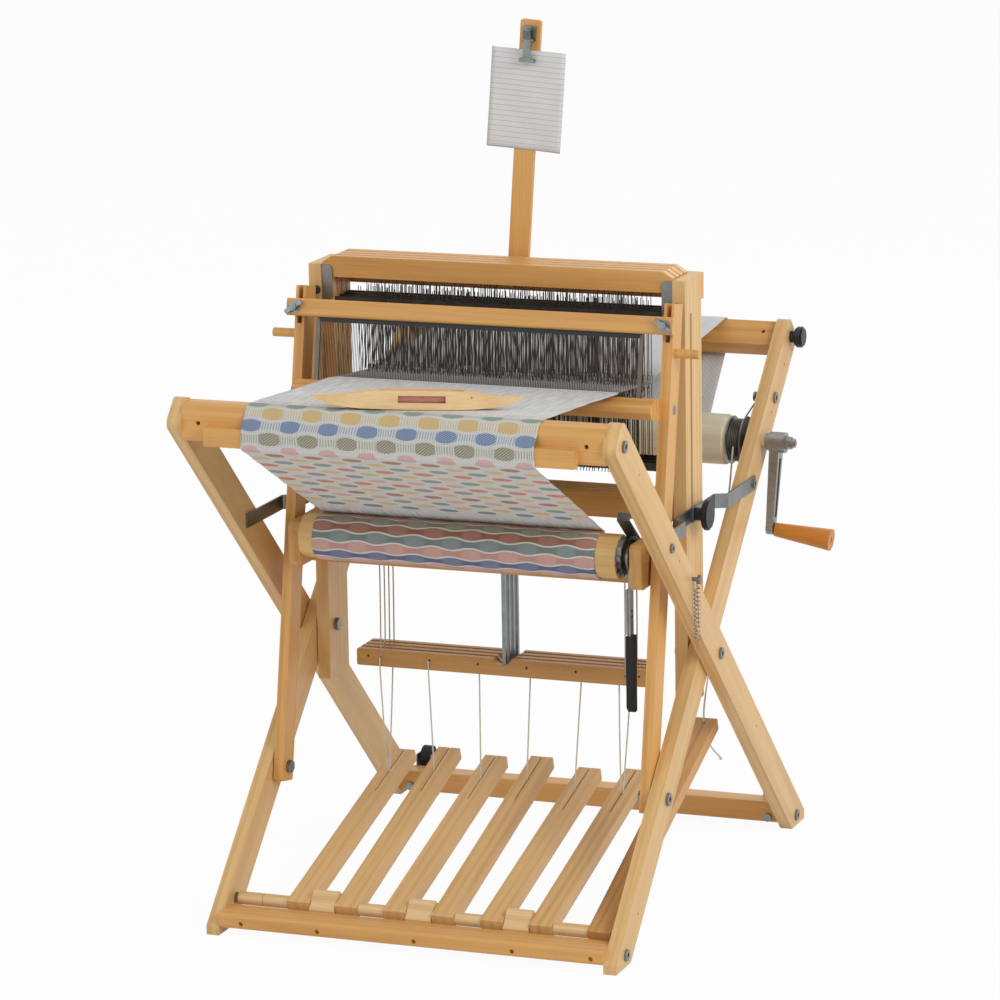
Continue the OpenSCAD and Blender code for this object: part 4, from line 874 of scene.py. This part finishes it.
def make_roll():
    """The wound cloth: a slightly uneven roll whose bands run from side to side."""
    sides, columns = 120, 120
    points, faces, uvs = [], [], []
    rng = np.random.default_rng(3)
    wave = rng.uniform(0, 6.28, 4)
    for j in range(columns + 1):
        x = -CLOTH_HALF + 2 * CLOTH_HALF * j / columns
        place = x + ROLL_SHIFT
        for i in range(sides + 1):
            # The angle grows from the top towards the weaver and down
            a = 2 * math.pi * i / sides
            v = a * ROLL_R
            ripple = math.sin(2 * math.pi * x / PITCH) * math.cos(math.pi * v / ROLL_ROW)
            r = ROLL_R - 0.6 + 0.4 * math.sin(x / 31 + wave[0]) + 0.3 * ripple
            r -= 0.9 * max(0.0, abs(x) - (CLOTH_HALF - 5)) / 5
            points.append((place, ROLL_Y - r * math.sin(a), ROLL_Z + r * math.cos(a)))
            uvs.append((x, v))
    m = sides + 1
    for j in range(columns):
        for i in range(sides):
            faces.append((j * m + i, j * m + i + 1, (j + 1) * m + i + 1, (j + 1) * m + i))
    # The ends show the cloth's layers as rings
    rings, outer, inner = 10, ROLL_R - 2.0, 30.1
    for j, sign in ((0, -1), (columns, 1)):
        base = len(points)
        for k in range(rings + 1):
            rr = outer - (outer - inner) * k / rings
            x = ROLL_SHIFT + sign * (CLOTH_HALF - (0.9 if k % 2 else 0.1))
            for i in range(m):
                a = 2 * math.pi * i / sides
                points.append((x, ROLL_Y - rr * math.sin(a), ROLL_Z + rr * math.cos(a)))
                uvs.append((x + k * 3, a * rr))
        for i in range(sides):
            faces.append((j * m + i, j * m + i + 1, base + i + 1, base + i))
        for k in range(rings):
            for i in range(sides):
                a0 = base + k * m + i
                faces.append((a0, a0 + 1, a0 + m + 1, a0 + m))
    material = cloth_material("rolled_cloth", ROLL_COLOURS, -ROLL_ROW / 2, 400.0, ROLL_ROW, True)
    piece = sheet_piece("cloth_roll_wound", points, faces, uvs, material)
    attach(piece, "cloth_beam_body")
    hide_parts("cloth_roll")


make_cloth()
make_roll()


# Warp
def warp_material():
    t = Tree("warp_threads")
    uv = t.add("ShaderNodeSeparateXYZ")
    t.feed(uv.inputs[0], t.uv())
    u = uv.outputs[0]
    thread = t.math("SINE", t.math("MULTIPLY", u, 2 * math.pi / 1.9))
    slub = t.noise(t.mapped(t.uv(), scale=(0.7, 0.012, 1)), 1.0, 3)
    tone = t.ramp(slub, [(0.25, linear((226, 228, 230))), (0.7, linear((250, 250, 248)))])
    # The grey in the gaps between the threads is painted shade, standing in for the shaded parts seen through
    # the warp
    shade = t.mix(t.math("MULTIPLY", t.math("LESS_THAN", thread, -0.35), 0.3), tone, linear((150, 150, 146)))
    t.colour(shade)
    t.rough(0.85)
    t.bump(thread, 0.0006, 0.7)
    t.set(Specular_IOR_Level=0.25)
    return t.mat


# The leg pivot's height, and distances up the rear legs from it
PIVOT_Z = 342
WARP_BEAM_ALONG, CABLE_BOLT_ALONG, BACK_BEAM_ALONG = 353, 429, 551


def on_rear_leg(along, above=0.0):
    """A point so far up the rear legs, and so far square above their line, as (y, z)."""
    lean_sin, lean_cos = math.sin(LEG_LEAN), math.cos(LEG_LEAN)
    return (along * lean_sin - above * lean_cos, PIVOT_Z + along * lean_cos + above * lean_sin)


def make_warp():
    material = warp_material()
    # The warp bends over two corners of the back beam and ends on the warp beam's winding
    ay, az = on_rear_leg(BACK_BEAM_ALONG, 16)
    cy, cz = on_rear_leg(BACK_BEAM_ALONG, -10)
    wy, wz = on_rear_leg(WARP_BEAM_ALONG)
    r = 35.9
    dy, dz = cy + 2 - wy, cz - 4 - wz
    turn = math.atan2(dz, dy) - math.acos(r / math.hypot(dy, dz))
    # From the fell through the heddles' eyes, over the back beam and down to the warp beam
    curve = [(-111.5, 718), (12, 706), (ay - 4, az + 0.5), (ay + 3, az + 0.2), (cy + 0.2, cz + 7),
             (cy + 1.3, cz + 1), (cy + 1.2, cz - 5), (wy + r * math.cos(turn), wz + r * math.sin(turn))]
    line = resample(curve, 12.0)
    whole = line[-1][0]
    taper = 12.0
    piece = sheet_mesh("warp", line, lambda v: WARP_HALF - taper * v / whole, material, -0.7, 60)
    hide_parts("warp_web")
    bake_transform(piece)


make_warp()


# Small fittings
def leg_spring():
    """Return spring on the right front leg, with its straight ends and a wire from the same bolt."""
    x, y, radius = 318.5, -118, 4.0
    turns, steps, top, bottom = 12, 12, 461.0, 391.0
    coil = [(x, y, 470), (x, y, 464)]
    for i in range(turns * steps + 1):
        a = 2 * math.pi * i / steps
        z = top - (top - bottom) * i / (turns * steps)
        coil.append((x + radius * math.cos(a), y + radius * math.sin(a), z))
    coil += [(x, y, 388), (x, y + 1, 376)]
    spring = Shape()
    spring.tube(coil, 0.8, 6)
    spring.tube([(315.8, -112, 470), (316.0, -110, 455), (316.2, -107, 425), (316.2, -105, 402)], 0.6, 6)
    spring.build("leg_spring", "front_frame", ZINC)


def brake_cable():
    """Steel cable wound on the brake drum, and its fixed end that runs to a bolt on the leg."""
    wy, wz = on_rear_leg(WARP_BEAM_ALONG)
    wire_r, winding_r, pitch, steps = 1.15, 29.3, 2.45, 40
    cable = Shape()
    for i in range(7):
        x = 250.8 + i * pitch
        loop = []
        for j in range(steps + 1):
            a = 2 * math.pi * j / steps
            loop.append((x + pitch * j / steps, wy + winding_r * math.cos(a), wz + winding_r * math.sin(a)))
        cable.tube(loop, wire_r, 6)
    cable.build("brake_cable_turns", "warp_beam_body", DARK_STEEL)
    ay, az = on_rear_leg(CABLE_BOLT_ALONG)
    # The end leaves the winding along a tangent that meets the bolt
    leave_r = 30.4
    leave = math.atan2(az - wz, ay - wy) + math.acos(leave_r / math.hypot(ay - wy, az - wz))
    start = (266, wy + leave_r * math.cos(leave), wz + leave_r * math.sin(leave))
    anchor = Shape()
    anchor.tube([start, (268.5, ay - 9, az - 4), (270.5, ay, az)], wire_r, 6)
    anchor.lathe((269.0, ay, az), [(0, 4.5), (0.3, 6.0), (2.6, 6.0), (3.0, 5.4)], 16, "X")
    anchor.build("brake_cable_anchor", "rear_frame", DARK_STEEL)


def bumper_pads():
    """Rubber tips of the castle's two bumpers."""
    bumper = Shape()
    x, y, z = 261.5, -32.4, 822
    for side in (-1, 1):
        bumper.lathe((side * x, y, z), [(0.0, 4.6), (0.2, 5.6), (2.5, 5.9), (8.2, 5.9)], 20, "Y")
    bumper.build("bumper_pads", "castle", RUBBER)


leg_spring()
brake_cable()
bumper_pads()


def note_material():
    """Pale paper with fine ruled lines."""
    t = Tree("ruled_note")
    uv = t.add("ShaderNodeSeparateXYZ")
    t.feed(uv.inputs[0], t.uv())
    v = uv.outputs[1]
    rule = t.math("LESS_THAN", t.math("FRACT", t.math("MULTIPLY", v, 19.0)), 0.16)
    cloud = t.noise(t.mapped(t.uv(), scale=(3, 3, 3)), 1.0, 2)
    sheet = t.mix(cloud, linear((214, 212, 209)), linear((230, 229, 227)))
    t.colour(t.mix(t.math("MULTIPLY", rule, 0.45), sheet, linear((150, 156, 166))))
    t.rough(0.7)
    t.bump(t.noise(t.place(), 60, 3), 0.0004, 0.25)
    return t.mat


# The mast's foot, its front face, its length and its lean to the side
MAST_X, MAST_Z = 2.7, 826
MAST_FRONT, MAST_LENGTH = 56, 368.0
MAST_LEAN = math.radians(4.1)


def note_paper():
    """The draft note: a ruled sheet that hangs on the mast, its lower corners slightly curled."""
    width, height, drop = 107.0, 137.0, 41.0
    columns, rows = 16, 20
    points, uvs = [], []
    for layer in (0, 1):
        for i in range(rows + 1):
            for j in range(columns + 1):
                a, b = j / columns, i / rows
                x = (a - 0.5) * width
                z = MAST_LENGTH - drop - height + b * height
                curl = 2.42 * ((1 - b) * (2 * a - 1)) ** 2
                points.append((MAST_X + x * math.cos(MAST_LEAN) + z * math.sin(MAST_LEAN),
                               MAST_FRONT - (0.35 + curl + 0.2 * layer),
                               MAST_Z - x * math.sin(MAST_LEAN) + z * math.cos(MAST_LEAN)))
                uvs.append((a, b))
    piece = sheet_piece("note_paper", points, two_sided(rows + 1, columns), uvs, note_material())
    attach(piece, "castle")
    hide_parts("note_sheet")


note_paper()


# The shuttle's middle, on the cloth, and its turn about Z
SHUTTLE_X, SHUTTLE_Y, SHUTTLE_Z = 18.0, -362.0, 736.5
SHUTTLE_TURN = math.radians(19)


def bobbin_material(turn):
    """Pink yarn wound round the bobbin."""
    t = Tree("pink_bobbin")
    wave = t.add("ShaderNodeTexWave", wave_type="BANDS", bands_direction="X")
    t.feed(wave.inputs["Vector"], t.mapped(t.place(), turn=turn))
    wave.inputs["Scale"].default_value = 300
    wave.inputs["Distortion"].default_value = 1.5
    soft = t.noise(t.place(), 220, 3)
    waves = t.math("MULTIPLY", wave.outputs["Fac"], 0.5)
    share = t.math("ADD", waves, t.math("MULTIPLY", soft, 0.5))
    t.colour(t.ramp(share, [(0.2, linear((220, 138, 130))), (0.8, linear((246, 194, 186)))]))
    t.rough(0.9)
    t.bump(wave.outputs["Fac"], 0.0005, 0.7)
    return t.mat


def shuttle_look():
    grain = (0, 0, -SHUTTLE_TURN)
    paint("shuttle", wood("wood_shuttle", (240, 206, 154), (224, 182, 122), grain, 200.0))
    mesh = NODES["shuttle"].data
    mesh.materials.append(bobbin_material(grain))
    # The bobbin lies in the shuttle's window, on an axis that sinks a little towards the weaver
    axis_up, reach, window_start, window_end = 14.6, 9.6, -49.5, 44.5
    for face in mesh.polygons:
        x = face.center.x * 1000 - SHIFT - SHUTTLE_X
        y = face.center.y * 1000 - SHUTTLE_Y
        along = x * math.cos(SHUTTLE_TURN) + y * math.sin(SHUTTLE_TURN)
        across = -x * math.sin(SHUTTLE_TURN) + y * math.cos(SHUTTLE_TURN)
        up = face.center.z * 1000 - SHUTTLE_Z
        near = math.hypot(across, up - axis_up + 0.07 * y) < reach
        if near and window_start < along < window_end:
            face.material_index = 1


shuttle_look()


# Floor, light and world
def stage():
    floor = bpy.data.meshes.new("floor")
    floor.from_pydata([(-12, -12, 0), (12, -12, 0), (12, 12, 0), (-12, 12, 0)], [], [(0, 1, 2, 3)])
    t = Tree("floor")
    lights = t.add("ShaderNodeLightPath")
    glow = t.add("ShaderNodeEmission")
    glow.inputs["Color"].default_value = (1, 1, 1, 1)
    glow.inputs["Strength"].default_value = 1.0
    mixer = t.add("ShaderNodeMixShader")
    t.colour(linear((240, 240, 240)))
    t.rough(0.9)
    seen = t.math("MAXIMUM", lights.outputs["Is Camera Ray"], lights.outputs["Is Glossy Ray"])
    t.feed(mixer.inputs[0], t.math("MULTIPLY", seen, 0.95))
    t.links.new(t.shader.outputs[0], mixer.inputs[1])
    t.links.new(glow.outputs[0], mixer.inputs[2])
    out = t.nodes["Material Output"]
    t.links.new(mixer.outputs[0], out.inputs["Surface"])
    floor.materials.append(t.mat)
    piece = bpy.data.objects.new("floor", floor)
    bpy.context.scene.collection.objects.link(piece)

    world = bpy.data.worlds.new("world")
    world.use_nodes = True
    tree = world.node_tree
    path = tree.nodes.new("ShaderNodeLightPath")
    white = tree.nodes.new("ShaderNodeBackground")
    white.inputs[0].default_value = (1, 1, 1, 1)
    white.inputs[1].default_value = 1.0
    soft = tree.nodes["Background"]
    soft.inputs[0].default_value = (1, 1, 1, 1)
    soft.inputs[1].default_value = 0.5
    mix = tree.nodes.new("ShaderNodeMixShader")
    seen = tree.nodes.new("ShaderNodeMath")
    seen.operation = "MAXIMUM"
    tree.links.new(path.outputs["Is Camera Ray"], seen.inputs[0])
    tree.links.new(path.outputs["Is Glossy Ray"], seen.inputs[1])
    tree.links.new(seen.outputs[0], mix.inputs[0])
    tree.links.new(soft.outputs[0], mix.inputs[1])
    tree.links.new(white.outputs[0], mix.inputs[2])
    tree.links.new(mix.outputs[0], tree.nodes["World Output"].inputs["Surface"])
    bpy.context.scene.world = world

    for name, place, aim, size, watts in (
            ("key", (3.9, -1.7, 3.1), (0, 0, 0.6), 2.6, 100),
            ("fill", (-2.6, -3.6, 2.6), (0, 0, 0.5), 2.6, 30),
            ("rim", (0.4, 3.6, 2.8), (0, 0, 0.6), 2.4, 30)):
        data = bpy.data.lights.new(name, "AREA")
        data.shape = "SQUARE"
        data.size = size
        data.energy = watts
        lamp = bpy.data.objects.new(name, data)
        lamp.location = place
        lamp.rotation_euler = (Vector(aim) - Vector(place)).to_track_quat("-Z", "Y").to_euler()
        bpy.context.scene.collection.objects.link(lamp)


stage()
bpy.context.scene.view_settings.view_transform = "Standard"

bpy.context.view_layer.update()
